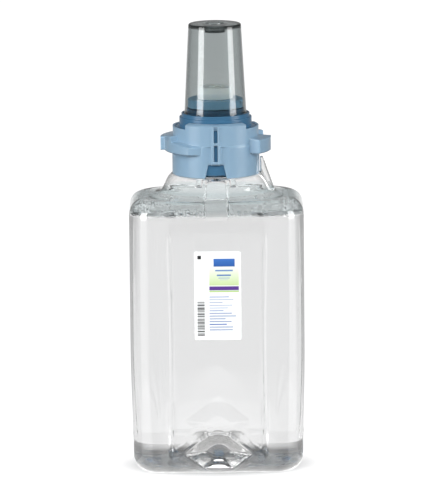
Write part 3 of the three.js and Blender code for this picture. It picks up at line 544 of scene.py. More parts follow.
def balls(centres: Array, radii: Array, rings: int = 8, sides: int = 12) -> Surface:
    """Many small spheres: each point is its centre plus the radius times a point of the unit sphere.

    Args:
        centres: one centre a row.
        radii: one radius each.
        rings: levels of each sphere.
        sides: facets round each sphere.

    Returns:
        The spheres as one surface.
    """
    polar = np.linspace(-math.pi / 2, math.pi / 2, rings)[:, None]
    angle = np.arange(sides)[None, :] * FULL_TURN / sides
    unit = np.stack(
        [np.cos(polar) * np.cos(angle), np.cos(polar) * np.sin(angle), np.sin(polar) + 0 * angle], axis=-1
    )
    points = centres[:, None] + radii[:, None, None] * unit.reshape(1, -1, 3)
    offsets = np.arange(len(centres))[:, None, None] * rings * sides
    faces = grid_faces(rings, sides)[None] + offsets
    return Surface(points.reshape(-1, 3), faces.reshape(-1, 4))


@dataclass
class Piece:
    """One finished mesh object and what it stands for."""

    name: str
    surface: Surface
    finish: Finish
    body: Body
    slot: str
    replaces: tuple[str, ...] = ()
    smoothing: Smoothing = Smoothing.SMOOTH
    merge_mm: float = 0.001

    def build(self) -> bpy.types.Object:
        """Makes the object, merges doubled points, dresses it and puts it on its body.

        Returns:
            The new object.
        """
        mesh = bpy.data.meshes.new(self.name)
        mesh.from_pydata((self.surface.points * MM).tolist(), [], self.surface.faces.tolist())
        work = bmesh.new()
        work.from_mesh(mesh)
        bmesh.ops.remove_doubles(work, verts=work.verts, dist=self.merge_mm * MM)
        loose = [vert for vert in work.verts if not vert.link_faces]
        bmesh.ops.delete(work, geom=loose, context="VERTS")
        work.to_mesh(mesh)
        work.free()
        mesh.polygons.foreach_set("use_smooth", np.ones(len(mesh.polygons), bool))
        mesh.materials.append(self.finish.build())
        obj = bpy.data.objects.new(self.name, mesh)
        bpy.context.scene.collection.objects.link(obj)
        if self.smoothing is Smoothing.WEIGHTED:
            obj.modifiers.new("flat faces stay flat", "WEIGHTED_NORMAL").keep_sharp = False
        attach(obj, self.body.value)
        if self.replaces:
            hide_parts(*self.replaces)
        LOG.info("%s: %d faces on %s", self.name, len(mesh.polygons), self.body.value)
        return obj


# The bottle and what is in and on it


@dataclass
class Levels:
    """One value for each level of a lofted skin, from the base outwards and up."""

    z: Array
    plan_z: Array  # height whose plan the level takes
    inset: Array  # how far the plan is moved in
    share: Array  # how far it has turned into a circle
    circle: Array  # radius of that circle

    @staticmethod
    def along(count: int, **ends: tuple[float, float]) -> "Levels":
        """Levels whose values run evenly between two ends each."""
        values = {name: np.linspace(a, b, count, endpoint=False) for name, (a, b) in ends.items()}
        z = values["z"]
        rest = (values.get(name, 0 * z) for name in ("inset", "share", "circle"))
        return Levels(z, values.get("plan_z", z), *rest)

    def then(self, *others: "Levels") -> "Levels":
        """These levels, followed by others."""
        rows = ([getattr(one, part.name) for one in (self, *others)] for part in fields(self))
        return Levels(*(np.concatenate(row) for row in rows))

    def reversed(self) -> "Levels":
        """The same levels the other way round."""
        return Levels(*(getattr(self, part.name)[::-1] for part in fields(self)))


@dataclass(frozen=True)
class Fold:
    """Six-sided recess low in a wall, where the bottle starts to fold as it empties."""

    waist: tuple[float, float]  # half width and height of each pair of corners
    top: tuple[float, float]
    foot: tuple[float, float]
    depth: float
    floor: float  # share of the recess that its floor takes
    ridge: float = 0.45  # height of the crease round its rim
    ridge_half: float = 1.1
    power: int = 12  # a lower one rounds the corners more
    straight: float = 0.75  # share of its slope that is plain, where the rest is eased

    def depth_at(self, x: Array, z: Array, grow: Array) -> Array:
        """Depth of the recess: full on its floor and 0 on its rim, which is raised to a thin crease.

        The gauge is the largest of the six edges' distances from the middle, each divided by that
        edge's own distance, so it is 1 on the rim. Its corners are softened by a power mean.

        Args:
            x: across the wall.
            z: height.
            grow: how far the inner skin's recess is widened.

        Returns:
            The depth at each point, in millimetres.
        """
        (waist, middle), (top, top_z), (foot, foot_z) = self.waist, self.top, self.foot
        across, up = np.abs(x), z - middle
        rise, drop = top_z - middle, middle - foot_z
        scale = waist / (waist + grow)
        edges = [
            up / rise,
            -up / drop,
            (rise * across + (waist - top) * up) / (rise * waist),
            (drop * across - (waist - foot) * up) / (drop * waist),
        ]
        gauge = sum((np.clip(edge, 0, None) * scale) ** self.power for edge in edges) ** (1 / self.power)
        slope = np.clip((1 - gauge) / (1 - self.floor), 0, 1)
        crease = self.ridge * np.exp(-(((1 - gauge) * waist / self.ridge_half) ** 2))
        return self.depth * (self.straight * slope + (1 - self.straight) * smoothstep(0, 1, slope)) - crease


@dataclass
class Bottle:
    """Blown bottle: panels, folds, push-up base, shoulder, cone with teeth, neck and one fin."""

    width: float
    depth: float
    rim_z: float
    corner: float = 18.0
    wall: float = 0.6
    body_height: float = 162.0
    foot_taper: float = 1.5
    fold: float = 2.5  # depth of the fold down each side
    fold_soft: float = 0.01
    panel_half: float = 28.8
    panel_bow: float = 1.8
    panel_recess: float = 0.7
    panel_step: float = 0.9
    groove: float = 1.5  # depth of the line at the panel's edge
    groove_half: float = 1.3
    back_line_z: float = 125.0  # where the lines of the back panel run out
    fade: float = 20.0  # height over which folds and panels run out at each end
    heel: float = 10.0
    back_heel: float = 18.0
    foot: float = 4.0
    base_rise: float = 6.0
    boss: float = 7.0
    core: float = 19.4  # half depth of the base's middle, which the low folds leave alone
    front_fold: Fold = Fold((22.4, 13.3), (5.6, 26.4), (7.8, 3.6), 9.0, 0.35)
    back_fold: Fold = Fold((28.0, 0.0), (16.0, 18.5), (16.0, -18.5), 16.0, 0.0)
    fold_top: float = 29.4  # height where the low folds and their creases end
    fold_least: float = 0.01  # a depth under this counts as none
    low_wall: float = 29.0  # height up to which levels lie close, for the low folds
    shoulder_round: float = 12.0
    shoulder_rise: float = 14.5
    edge_power: float = 0.8  # under 1 makes the shoulder's edge squarer than a circle
    cone_foot: float = 34.2
    cone_top: float = 28.1
    cone_rise: float = 10.5
    cone_power: float = 0.6
    key_half: float = 7.0  # flat down the shoulder, front and back
    key_edge: float = 0.25
    neck: float = 23.4
    neck_wall: float = 1.8
    bead: float = 1.0
    bead_rise: float = 4.4
    bead_levels: tuple[float, float, float] = (0.3, 1.2, 2.4)
    fillet: float = 2.2
    fillet_rounds: int = 6
    tooth_count: int = 18
    tooth_width: float = 3.4
    tooth_flank: tuple[float, float] = (0.42, 0.58)  # shares of the width where a tooth's side starts and ends
    tooth_arc: tuple[float, float] = (0.5, 0.6)  # radians from the front or the back where the teeth run out
    tooth_height: float = 4.4
    tooth_edge: float = 0.3
    tooth_reach: float = 0.7
    tooth_slack: float = 0.1  # a level this far inside the cone's top still carries teeth
    tooth_close: float = 0.03  # share of the cone's rise between the levels at the teeth's foot
    fin_thickness: float = 2.2
    fin_tip: float = 1.8
    fin_foot: float = 3.0
    fin_round: float = 0.8
    fin_scale: tuple[float, ...] = (0, 0.93, 1, 1, 0.93, 0)  # of its outline, from one face to the other
    fin_across: tuple[float, ...] = (-0.5, -0.5, -0.38, 0.38, 0.5, 0.5)  # shares of its thickness
    side_steps: int = 12
    corner_steps: int = 24
    front_steps: tuple[int, ...] = (6, 14, 24, 8, 6)
    front_stops: tuple[float, ...] = (1, 0.86, 0.72, 0.215, 0.165, 0)  # close at the panel's edge and the key
    base_steps: tuple[int, ...] = (5, 14, 4, 14, 22, 22, 8)  # boss, push-up, foot, heel, folds, wall and fade
    shoulder_steps: tuple[int, int] = (18, 9)
    cone_steps: tuple[int, int] = (14, 10)  # of the outer and the inner skin
    neck_steps: tuple[int, ...] = (3, 4, 2, 2, 3, 6, 4)
    bore_steps: tuple[int, ...] = (4, 6)
    inner_share: float = 0.7  # levels of the inner skin beside the outer one

    @property
    def cone_foot_z(self) -> float:
        """Height of the cone's foot."""
        return self.body_height + self.shoulder_rise

    @property
    def seat_z(self) -> float:
        """Height of the ledge at the top of the cone."""
        return self.cone_foot_z + self.cone_rise

    def along_body(self, z: Array) -> Array:
        """1 along the body, easing to 0 at the heel and the shoulder."""
        top = smoothstep(self.body_height - self.fade, self.body_height, z)
        return smoothstep(self.heel, self.fade, z) * (1 - top)

    def quarter(self, half_w: Array, half_d: Array, corner: Array) -> tuple[Array, Array]:
        """A quarter of a rounded rectangle: along the side, round the corner arc and along the front.

        Args:
            half_w: half width of each level.
            half_d: half depth of each level.
            corner: corner radius of each level.

        Returns:
            x and y, one row a level.
        """
        side = np.arange(self.side_steps)[None] / self.side_steps
        turn = np.arange(self.corner_steps)[None] / self.corner_steps * math.pi / 2
        count = np.arange(sum(self.front_steps) + 1)
        stops = np.interp(count, np.cumsum((0, *self.front_steps)), self.front_stops)[None]
        straight_w, straight_d = half_w - corner, half_d - corner
        x = np.hstack([half_w + 0 * side, straight_w + corner * np.cos(turn), straight_w * stops])
        y = np.hstack([straight_d * side, straight_d + corner * np.sin(turn), half_d + 0 * stops])
        return x, y

    def plan(self, z: Array, inset: Array) -> tuple[Array, Array]:
        """Plan of the body at each level: a rounded rectangle with side folds and sunk panels.

        A side fold draws x in by fold (1 - |y| / straight), and a panel draws y in by its recess
        where |x| is under the panel's half width, with a bell-shaped groove
        e^-((|x| - half width) / groove half)^2 along its edge. A quarter is mirrored to all four.

        Args:
            z: height of each level.
            inset: how far each level is moved in.

        Returns:
            x and y, one row a level.
        """
        z, inset = z[:, None], inset[:, None]
        taper = self.foot_taper * (1 - smoothstep(0, self.body_height / 2, z))
        half_d, corner = self.depth / 2 - inset, self.corner - inset
        x, y = self.quarter(self.width / 2 - taper - inset, half_d, corner)
        body = self.along_body(z)
        near = np.sqrt((y / np.maximum(half_d - corner, 1)) ** 2 + self.fold_soft)
        x = x - self.fold * body * np.clip(1 - near, 0, 1)
        bow = 2 * z / self.body_height - 1
        panel = self.panel_half + self.panel_bow * bow**2
        inside = smoothstep(-self.panel_step, self.panel_step, panel - x)
        flat = body * (y >= half_d - 1e-6)
        line = self.groove * np.exp(-(((panel - x) / self.groove_half) ** 2)) * flat
        y = y - self.panel_recess * inside * flat
        steps = x.shape[1] - 1
        order = np.tile(np.concatenate([np.arange(steps), np.arange(steps, 0, -1)]), 2)
        sign_x = np.repeat([1, -1, -1, 1], steps)
        sign_y = np.repeat([1, 1, -1, -1], steps)
        kept = np.where(sign_y < 0, 1, 1 - smoothstep(self.back_line_z - self.fade, self.back_line_z, z))
        return x[:, order] * sign_x, (y[:, order] - line[:, order] * kept) * sign_y

    def loft(self, levels: Levels) -> Array:
        """Points of a skin: each level's plan, drawn towards a circle by its share, then cut.

        Args:
            levels: the skin's levels.

        Returns:
            Points as (level, round, xyz).
        """
        x, y = self.plan(levels.plan_z, levels.inset)
        angle = np.arange(x.shape[1]) * FULL_TURN / x.shape[1]
        share, inset = levels.share[:, None], levels.inset[:, None]
        radius = levels.circle[:, None] + self.teeth(angle, levels)
        x = x + (radius * np.cos(angle) - x) * share
        y = y + (radius * np.sin(angle) - y) * share
        z = np.repeat(levels.z[:, None], x.shape[1], axis=1)
        half = self.depth / 2
        y = np.where(y > 0, y * (half - self.heel_at(z, self.back_heel)) / (half - self.heel_at(z, self.heel)), y)
        y = self.keyed(x, self.folded(x, y, z, inset), z, inset)
        return np.stack([x, y, z], axis=-1)

    def folded(self, x: Array, y: Array, z: Array, inset: Array) -> Array:
        """y where the low folds cut into the front and the back wall, with creases round their rims."""
        wall_y = self.depth / 2 - self.panel_recess / 2 - inset
        fold = np.where(y < 0, self.front_fold.depth_at(x, z, inset), self.back_fold.depth_at(x, z, inset))
        low = (z < self.fold_top) & (np.abs(fold) > self.fold_least)
        held = np.where(fold > 0, np.minimum(np.abs(y), np.maximum(wall_y - fold, 0)), np.abs(y) - fold)
        return np.where(low & (np.abs(y) > self.core), np.sign(y) * held, y)

    def keyed(self, x: Array, y: Array, z: Array, inset: Array) -> Array:
        """y where the flat key down the front and the back of the shoulder holds it in."""
        slope = (z - self.body_height) / (self.seat_z - self.body_height)
        flat = self.depth / 2 + (self.cone_top + self.tooth_reach - self.depth / 2) * slope - inset
        held = np.minimum(np.abs(y), flat)
        key = 1 - smoothstep(self.key_half - self.key_edge, self.key_half + self.key_edge, np.abs(x) - inset)
        key = key * (z > self.body_height) * (z < self.seat_z) * (np.abs(y) > self.neck)
        return np.sign(y) * (np.abs(y) + (held - np.abs(y)) * key)

    @staticmethod
    def heel_at(z: Array, heel: float) -> Array:
        """How far a round heel of this radius has drawn the wall in at a height."""
        return heel - np.sqrt(heel**2 - np.clip(heel - z, 0, heel) ** 2)

    def teeth(self, angle: Array, levels: Levels) -> Array:
        """How far the ring of teeth stands out of the cone, at each level and angle."""
        pitch = FULL_TURN / self.tooth_count
        off = np.abs((angle - math.pi / 2 + pitch / 2) % pitch - pitch / 2)
        tooth = 1 - smoothstep(*self.tooth_flank, off * self.cone_top / self.tooth_width)
        tooth = tooth * (1 - smoothstep(*self.tooth_arc, np.abs(angle % math.pi - math.pi / 2)))
        z = levels.z[:, None]
        low = self.seat_z - self.tooth_height
        up = smoothstep(low - self.tooth_edge, low + self.tooth_edge, z)
        wide = levels.circle > self.cone_top - self.tooth_slack
        outside = (levels.inset == 0) & (levels.z <= self.seat_z) & wide
        return tooth * up * outside[:, None] * self.tooth_reach

    def cone(self, inset: float, count: int) -> Levels:
        """Levels of the neck's cone, whose radius is top + (foot - top) (1 - t)^power at t of its rise."""
        t = np.sin(np.linspace(0, math.pi / 2, count, endpoint=False))
        low = 1 - self.tooth_height / self.cone_rise
        t = np.unique(np.concatenate([t, low + np.array([-1, 0, 1]) * self.tooth_close]))
        r = self.cone_top + (self.cone_foot - self.cone_top) * (1 - t) ** self.cone_power
        z = self.cone_foot_z + self.cone_rise * t
        return Levels(z - inset, z, inset + 0 * t, 1 + 0 * t, r - inset)

    def base_and_wall(self, inset: float, fine: float) -> Levels:
        """Levels from the middle of the base, over the heel, up the wall to the shoulder.

        Args:
            inset: how far the skin is moved in.
            fine: share of the levels to use.

        Returns:
            The levels.
        """
        n_boss, n_rise, n_foot, n_heel, n_low, n_wall, n_top = (max(3, round(n * fine)) for n in self.base_steps)
        foot_in, rise, same = self.heel + self.foot, self.base_rise, (inset, inset)
        boss = Levels.along(n_boss, z=(rise + inset, rise + inset), share=(1, 1), circle=(0, self.boss))
        c = np.linspace(0, 1, n_rise, endpoint=False)
        push_up = Levels(inset + rise * (1 - smoothstep(0, 1, c)), 0 * c, foot_in + 0 * c, 1 - c, self.boss + 0 * c)
        foot = Levels.along(n_foot, z=same, plan_z=(0, 0), inset=(foot_in, self.heel))
        a = np.linspace(0, math.pi / 2, n_heel, endpoint=False)
        reach = self.heel - inset
        heel_z = self.heel - reach * np.cos(a)
        heel = Levels(heel_z, heel_z, self.heel - reach * np.sin(a), 0 * a, 0 * a)
        stops = (self.heel, self.low_wall, self.body_height - self.fade, self.body_height)
        counts = (n_low, n_wall, n_top)
        wall = [Levels.along(n, z=ends, inset=same) for n, ends in zip(counts, zip(stops, stops[1:]))]
        return boss.then(push_up, foot, heel, *wall)

    def shoulder_edge(self, a: Array, inset: float, drop: float) -> Levels:
        """Levels round the shoulder's edge: up by sin(a)^power, and in by 1 - cos(a)^power.

        Args:
            a: angle of each level.
            inset: how far the plan is moved in.
            drop: how much lower and narrower the edge ends.

        Returns:
            The levels.
        """
        flat = 0 * a
        return Levels(
            self.body_height + (self.shoulder_round - drop) * np.sin(a) ** self.edge_power,
            self.body_height + flat,
            inset + flat,
            self.edge_share * (1 - np.cos(a) ** self.edge_power),
            self.cone_foot - drop + flat,
        )

    @property
    def edge_share(self) -> float:
        """How far the plan has turned into the cone's circle where the shoulder's edge ends."""
        return self.shoulder_round / (self.width / 2 - self.cone_foot)

    def shoulder(self, inset: float, fine: float) -> Levels:
        """Levels over the rounded shoulder edge and in to the cone's foot."""
        edge_count, slope_count = (round(count * fine) for count in self.shoulder_steps)
        edge = self.shoulder_edge(np.linspace(0, math.pi / 2, edge_count, endpoint=False), inset, inset)
        slope = Levels.along(
            slope_count,
            z=(self.body_height + self.shoulder_round - inset, self.cone_foot_z - inset),
            plan_z=(self.body_height, self.body_height),
            inset=(inset, inset),
            share=(self.edge_share, 1),
            circle=(self.cone_foot - inset, self.cone_foot - inset),
        )
        return edge.then(slope)

    @staticmethod
    def ring_levels(corners: list[tuple[float, float]], counts: tuple[int, ...], inset: float) -> list[Levels]:
        """Round levels through (radius, z) corners, with a count of steps for each span."""
        return [
            Levels.along(count, z=(z0, z1), share=(1, 1), circle=(r0, r1), inset=(inset, inset))
            for (r0, z0), (r1, z1), count in zip(corners, corners[1:], counts)
        ]

    def skin(self) -> Surface:
        """The whole bottle as one closed surface: outer skin up, over the rim, inner skin down."""
        neck, neck_in, seat, wall = self.neck, self.neck - self.neck_wall, self.seat_z, self.wall
        bead_z = seat + self.bead_rise
        low, middle, high = (bead_z + level for level in self.bead_levels)
        outside = [
            (self.cone_top, seat),
            (neck, seat),
            (neck, bead_z),
            (neck + self.bead, low),
            (neck + self.bead, middle),
            (neck, high),
            (neck, self.rim_z),
            (neck_in, self.rim_z),
        ]
        inside = [(self.cone_top - wall, seat - wall), (neck_in, seat - wall), (neck_in, self.rim_z)]
        outer_cone, inner_cone = self.cone_steps
        outer = self.base_and_wall(0, 1).then(
            self.shoulder(0, 1), self.cone(0, outer_cone), *self.ring_levels(outside, self.neck_steps, 0)
        )
        fine = self.inner_share
        inner = self.base_and_wall(wall, fine).then(
            self.shoulder(wall, fine), self.cone(wall, inner_cone), *self.ring_levels(inside, self.bore_steps, wall)
        )
        return Surface.of_grid(self.filleted(self.loft(outer.then(inner.reversed()))))

    def filleted(self, points: Array) -> Array:
        """Rounds the corner at the cone's foot: levels near it are drawn to their neighbours' mean."""
        near = np.abs(points[1:-1, :, 2:] - self.cone_foot_z) < self.fillet
        for _ in range(self.fillet_rounds):
            mean = (points[:-2] + 2 * points[1:-1] + points[2:]) / 4
            points[1:-1] = np.where(near, mean, points[1:-1])
        return points

    def fin(self, inner_r: float, top_z: float) -> Surface:
        """The flat fin on the neck's right: a bevelled triangle in the XZ plane."""
        foot_z = self.cone_foot_z - self.wall
        corners = [
            (inner_r, top_z),
            (inner_r, self.seat_z - self.tooth_height / 2),
            (self.cone_foot - self.wall, foot_z),
            (self.cone_foot + self.fin_foot, foot_z),
            (inner_r + self.fin_tip, top_z),
        ]
        outline = rounded_outline(corners, self.fin_round)
        middle = outline.mean(axis=0)
        shrink = np.array(self.fin_scale)[:, None, None]
        across = np.array(self.fin_across)[:, None] * self.fin_thickness
        flat = middle + (outline[None] - middle) * shrink
        return Surface.of_grid(np.stack([flat[..., 0], across + 0 * flat[..., 0], flat[..., 1]], axis=-1))

    def build(self, fin_r: float, fin_top: float) -> bpy.types.Object:
        """Makes the bottle with its fin."""
        surface = self.skin().joined(self.fin(fin_r, fin_top))
        return Piece(
            "blown_bottle", surface, BLOWN_PET, Body.REFILL, "clear_pet", ("bottle",), merge_mm=0.0005
        ).build()


@dataclass
class Sanitizer:
    """The contents: fills the bottle to its level, with a meniscus and a line of bubbles."""

    bottle: Bottle
    fill_z: float
    overlap: float = 0.3  # reaches this far under the bottle's outer skin, so no air film shows
    level_share: float = 0.8  # levels beside the bottle's
    edge_levels: int = 4
    meniscus: float = 0.3
    meniscus_reach: float = 1.5
    top_rings: tuple[float, ...] = (0.0, 0.4, 0.9, 1.6, 2.6, 4.0, 7.0, 12.0, 20.0)  # distances in from the wall
    seed: int = 7
    bubble_count: int = 800
    bubble_small: float = 0.5
    bubble_large: float = 1.5
    size_power: float = 2.5  # a higher one makes more of them small
    bubble_rise: float = 0.05  # how far they float over the level
    bubble_gap: float = 0.8  # least distance from the wall's outside
    bubble_spread: float = 6.0
    bubble_limit: float = 24.0
    column_start: float = 0.12  # shares of a quarter of the plan where they start, and how far they reach
    column_reach: float = 0.8
    column_power: float = 0.7  # a lower one draws them to the corners
    back_share: float = 0.15  # bubbles at the back
    film_share: float = 0.3
    film_rings: int = 5
    film_sides: int = 7

    def surface(self) -> Surface:
        """The liquid's skin: the bottle's form moved in, closed by its top.

        The top's rings shrink the last plan to the middle, and rise at the wall by
        meniscus e^(-distance / reach).
        """
        bottle = self.bottle
        rise = (self.fill_z - bottle.body_height) / bottle.shoulder_round
        a = np.linspace(0, math.asin(rise ** (1 / bottle.edge_power)), self.edge_levels)
        sides = bottle.base_and_wall(self.overlap, self.level_share)
        points = bottle.loft(sides.then(bottle.shoulder_edge(a, self.overlap, 0)))
        half = bottle.depth / 2
        distance = np.array([*self.top_rings, half])
        top = points[-1][None] * (1 - distance / half)[:, None, None]
        top[..., 2] = self.fill_z + self.meniscus * np.exp(-distance / self.meniscus_reach)[:, None]
        return Surface.of_grid(np.vstack([points, top]))

    def bubbles(self) -> Surface:
        """Bubbles along the waterline, thickest at the front corners, each a thin shell.

        Each one takes a point of the bottle's plan, moved in by its radius and a little more. The
        point is a random number of columns from the middle of the front or the back.
        """
        rng = np.random.default_rng(self.seed)
        count = self.bubble_count
        size = self.bubble_small + (self.bubble_large - self.bubble_small) * rng.random(count) ** self.size_power
        away_from_wall = np.minimum(self.bubble_spread * rng.exponential(1.0, count), self.bubble_limit)
        inset = self.bubble_gap + size + away_from_wall
        x, y = self.bottle.plan(np.full(count, self.bottle.body_height), inset)
        quarter = x.shape[1] // 4
        away = quarter * (self.column_start + self.column_reach * rng.random(count) ** self.column_power)
        middle = np.where(rng.random(count) < self.back_share, 1, 3) * quarter
        column = (middle + rng.choice([-1, 1], count) * away).astype(int)
        pick = np.arange(count), column
        z = self.fill_z + self.bubble_rise + size + self.meniscus * np.exp((size - inset) / self.meniscus_reach)
        centres = np.stack([x[pick], y[pick], z], axis=-1)
        film = balls(centres, size, self.film_rings, self.film_sides)
        inner = balls(centres, (1 - self.film_share) * size, self.film_rings, self.film_sides)
        return film.joined(Surface(inner.points, inner.faces[:, ::-1]))

    def build(self) -> list[bpy.types.Object]:
        """Makes the liquid and its bubbles."""
        slot, body = "sanitizer", Body.REFILL
        pieces = [
            Piece("sanitizer", self.surface(), SANITIZER, body, slot, ("sanitizer_liquid",)),
            Piece("waterline_bubbles", self.bubbles(), BUBBLE_FILM, body, slot),
        ]
        return [piece.build() for piece in pieces]


@dataclass(frozen=True)
class PrintField:
    """A plain block of ink on the label, in millimetres from the label's middle."""

    left: float
    right: float
    bottom: float
    top: float
    colour: str
    upper: str = ""  # colour at the top, where the block is graded

    def paint(self, x: Array, z: Array, ink: Array) -> None:
        """Colours the points that lie inside the block."""
        inside = (x >= self.left) & (x <= self.right) & (z >= self.bottom) & (z <= self.top)
        share = ((z[inside] - self.bottom) / (self.top - self.bottom))[:, None]
        low, high = np.array(linear(self.colour)), np.array(linear(self.upper or self.colour))
        ink[inside] = low + (high - low) * share


@dataclass
class Label:
    """Front label: white film with plain generic blocks of ink."""

    low: Vector
    high: Vector
    corner: float = 1.2
    spacing: float = 0.25
    seed: int = 3
    paper: str = "FBFDFD"
    bar_count: int = 26
    bar_sides: tuple[float, float] = (-12.8, -8.3)
    bar_start: float = -25.4
    bar_sizes: tuple[float, ...] = (0.26, 0.5, 0.75)
    bar_gaps: tuple[float, ...] = (0.26, 0.5)
    bar_ink: str = "1D1E20"
    line_count: int = 13
    line_left: float = -5.2
    line_start: float = -0.4
    line_pitch: float = 1.75
    line_height: float = 0.6
    line_lengths: tuple[float, float] = (8, 17)
    line_inks: tuple[str, ...] = ("5A78B8", "97A6C6", "97A6C6", "97A6C6", "97A6C6")

    def fields(self) -> list[PrintField]:
        """The printed blocks: a registration square, a green panel, bands, bars and lines."""
        rng = np.random.default_rng(self.seed)
        blocks = [
            PrintField(-12.5, -10.3, 23.3, 25.5, "17181A"),
            PrintField(-5.2, 13.2, 6.5, 19.5, "C6DDA0", "F6FAF2"),
            PrintField(-5.2, 13.2, 3.4, 6.1, "5B3A8E"),
            PrintField(-5.2, 13.2, 2.3, 3.2, "B4D68A"),
            PrintField(-2.6, 10.8, 18.6, 23.6, "2E5CA6", "3F74BE"),
            PrintField(-1.6, 9.6, 15.6, 16.6, "6E90C4"),
            PrintField(-0.4, 8.4, 12.6, 13.6, "5C82BC"),
            PrintField(0.4, 7.6, 11.0, 11.5, "8FA8CC"),
            PrintField(1.4, 6.6, 10.0, 10.4, "A8BCD8"),
        ]
        z = self.bar_start
        for _ in range(self.bar_count):
            thick = float(rng.choice(self.bar_sizes))
            blocks.append(PrintField(*self.bar_sides, z, z + thick, self.bar_ink))
            z += thick + float(rng.choice(self.bar_gaps))
        for row in range(self.line_count):
            z = self.line_start - self.line_pitch * row
            right = self.line_left + float(rng.uniform(*self.line_lengths))
            ink = self.line_inks[row % len(self.line_inks)]
            blocks.append(PrintField(self.line_left, right, z - self.line_height, z, ink))
        return blocks

    def build(self) -> bpy.types.Object:
        """Makes the film: rows of points whose half width follows the rounded corners."""
        half_x, _, half_z = ((high - low) / MM / 2 for low, high in zip(self.low, self.high))
        middle_x, _, middle_z = ((high + low) / MM / 2 for low, high in zip(self.low, self.high))
        z = np.linspace(-half_z, half_z, round(2 * half_z / self.spacing))[:, None]
        u = np.linspace(-1, 1, round(2 * half_x / self.spacing))[None]
        past = np.clip(np.abs(z) - (half_z - self.corner), 0, self.corner)
        x = (half_x - self.corner + np.sqrt(self.corner**2 - past**2)) * u
        z = z + 0 * x
        rows, columns = x.shape
        y = np.full_like(x, self.low.y / MM)
        points = np.stack([x + middle_x, y, z + middle_z], axis=-1).reshape(-1, 3)
        here = (np.arange(rows - 1)[:, None] * columns + np.arange(columns - 1)[None]).reshape(-1)
        faces = np.stack([here, here + 1, here + columns + 1, here + columns], axis=-1)
        obj = Piece(
            "label_film", Surface(points, faces), LABEL_FILM, Body.REFILL, "label_film", ("front_label",), merge_mm=0
        ).build()
        ink = np.tile(linear(self.paper), (len(points), 1))
        for block in self.fields():
            block.paint(x.reshape(-1), z.reshape(-1), ink)
        layer = obj.data.attributes.new(LABEL_FILM.attribute, "FLOAT_COLOR", "POINT")
        layer.data.foreach_set("color", ink.reshape(-1))
        obj.data.materials.append(LABEL_BACKING.build())
        film = obj.modifiers.new("film", "SOLIDIFY")
        film.thickness = self.high.y - self.low.y
        film.offset = -1
        film.material_offset = film.material_offset_rim = 1
        return obj


# The collar


def degrees_of(half_width: float, radius: float) -> float:
    """Degrees from the middle to the edge of something this wide at a radius."""
    return math.degrees(math.asin(half_width / radius))


def round_the_neck(radius: Array, turn: Array, height: Array) -> Array:
    """Points at a radius and height, turned to the right from the front about the neck's axis."""
    return np.stack([radius * np.sin(turn), -radius * np.cos(turn), height], axis=-1)


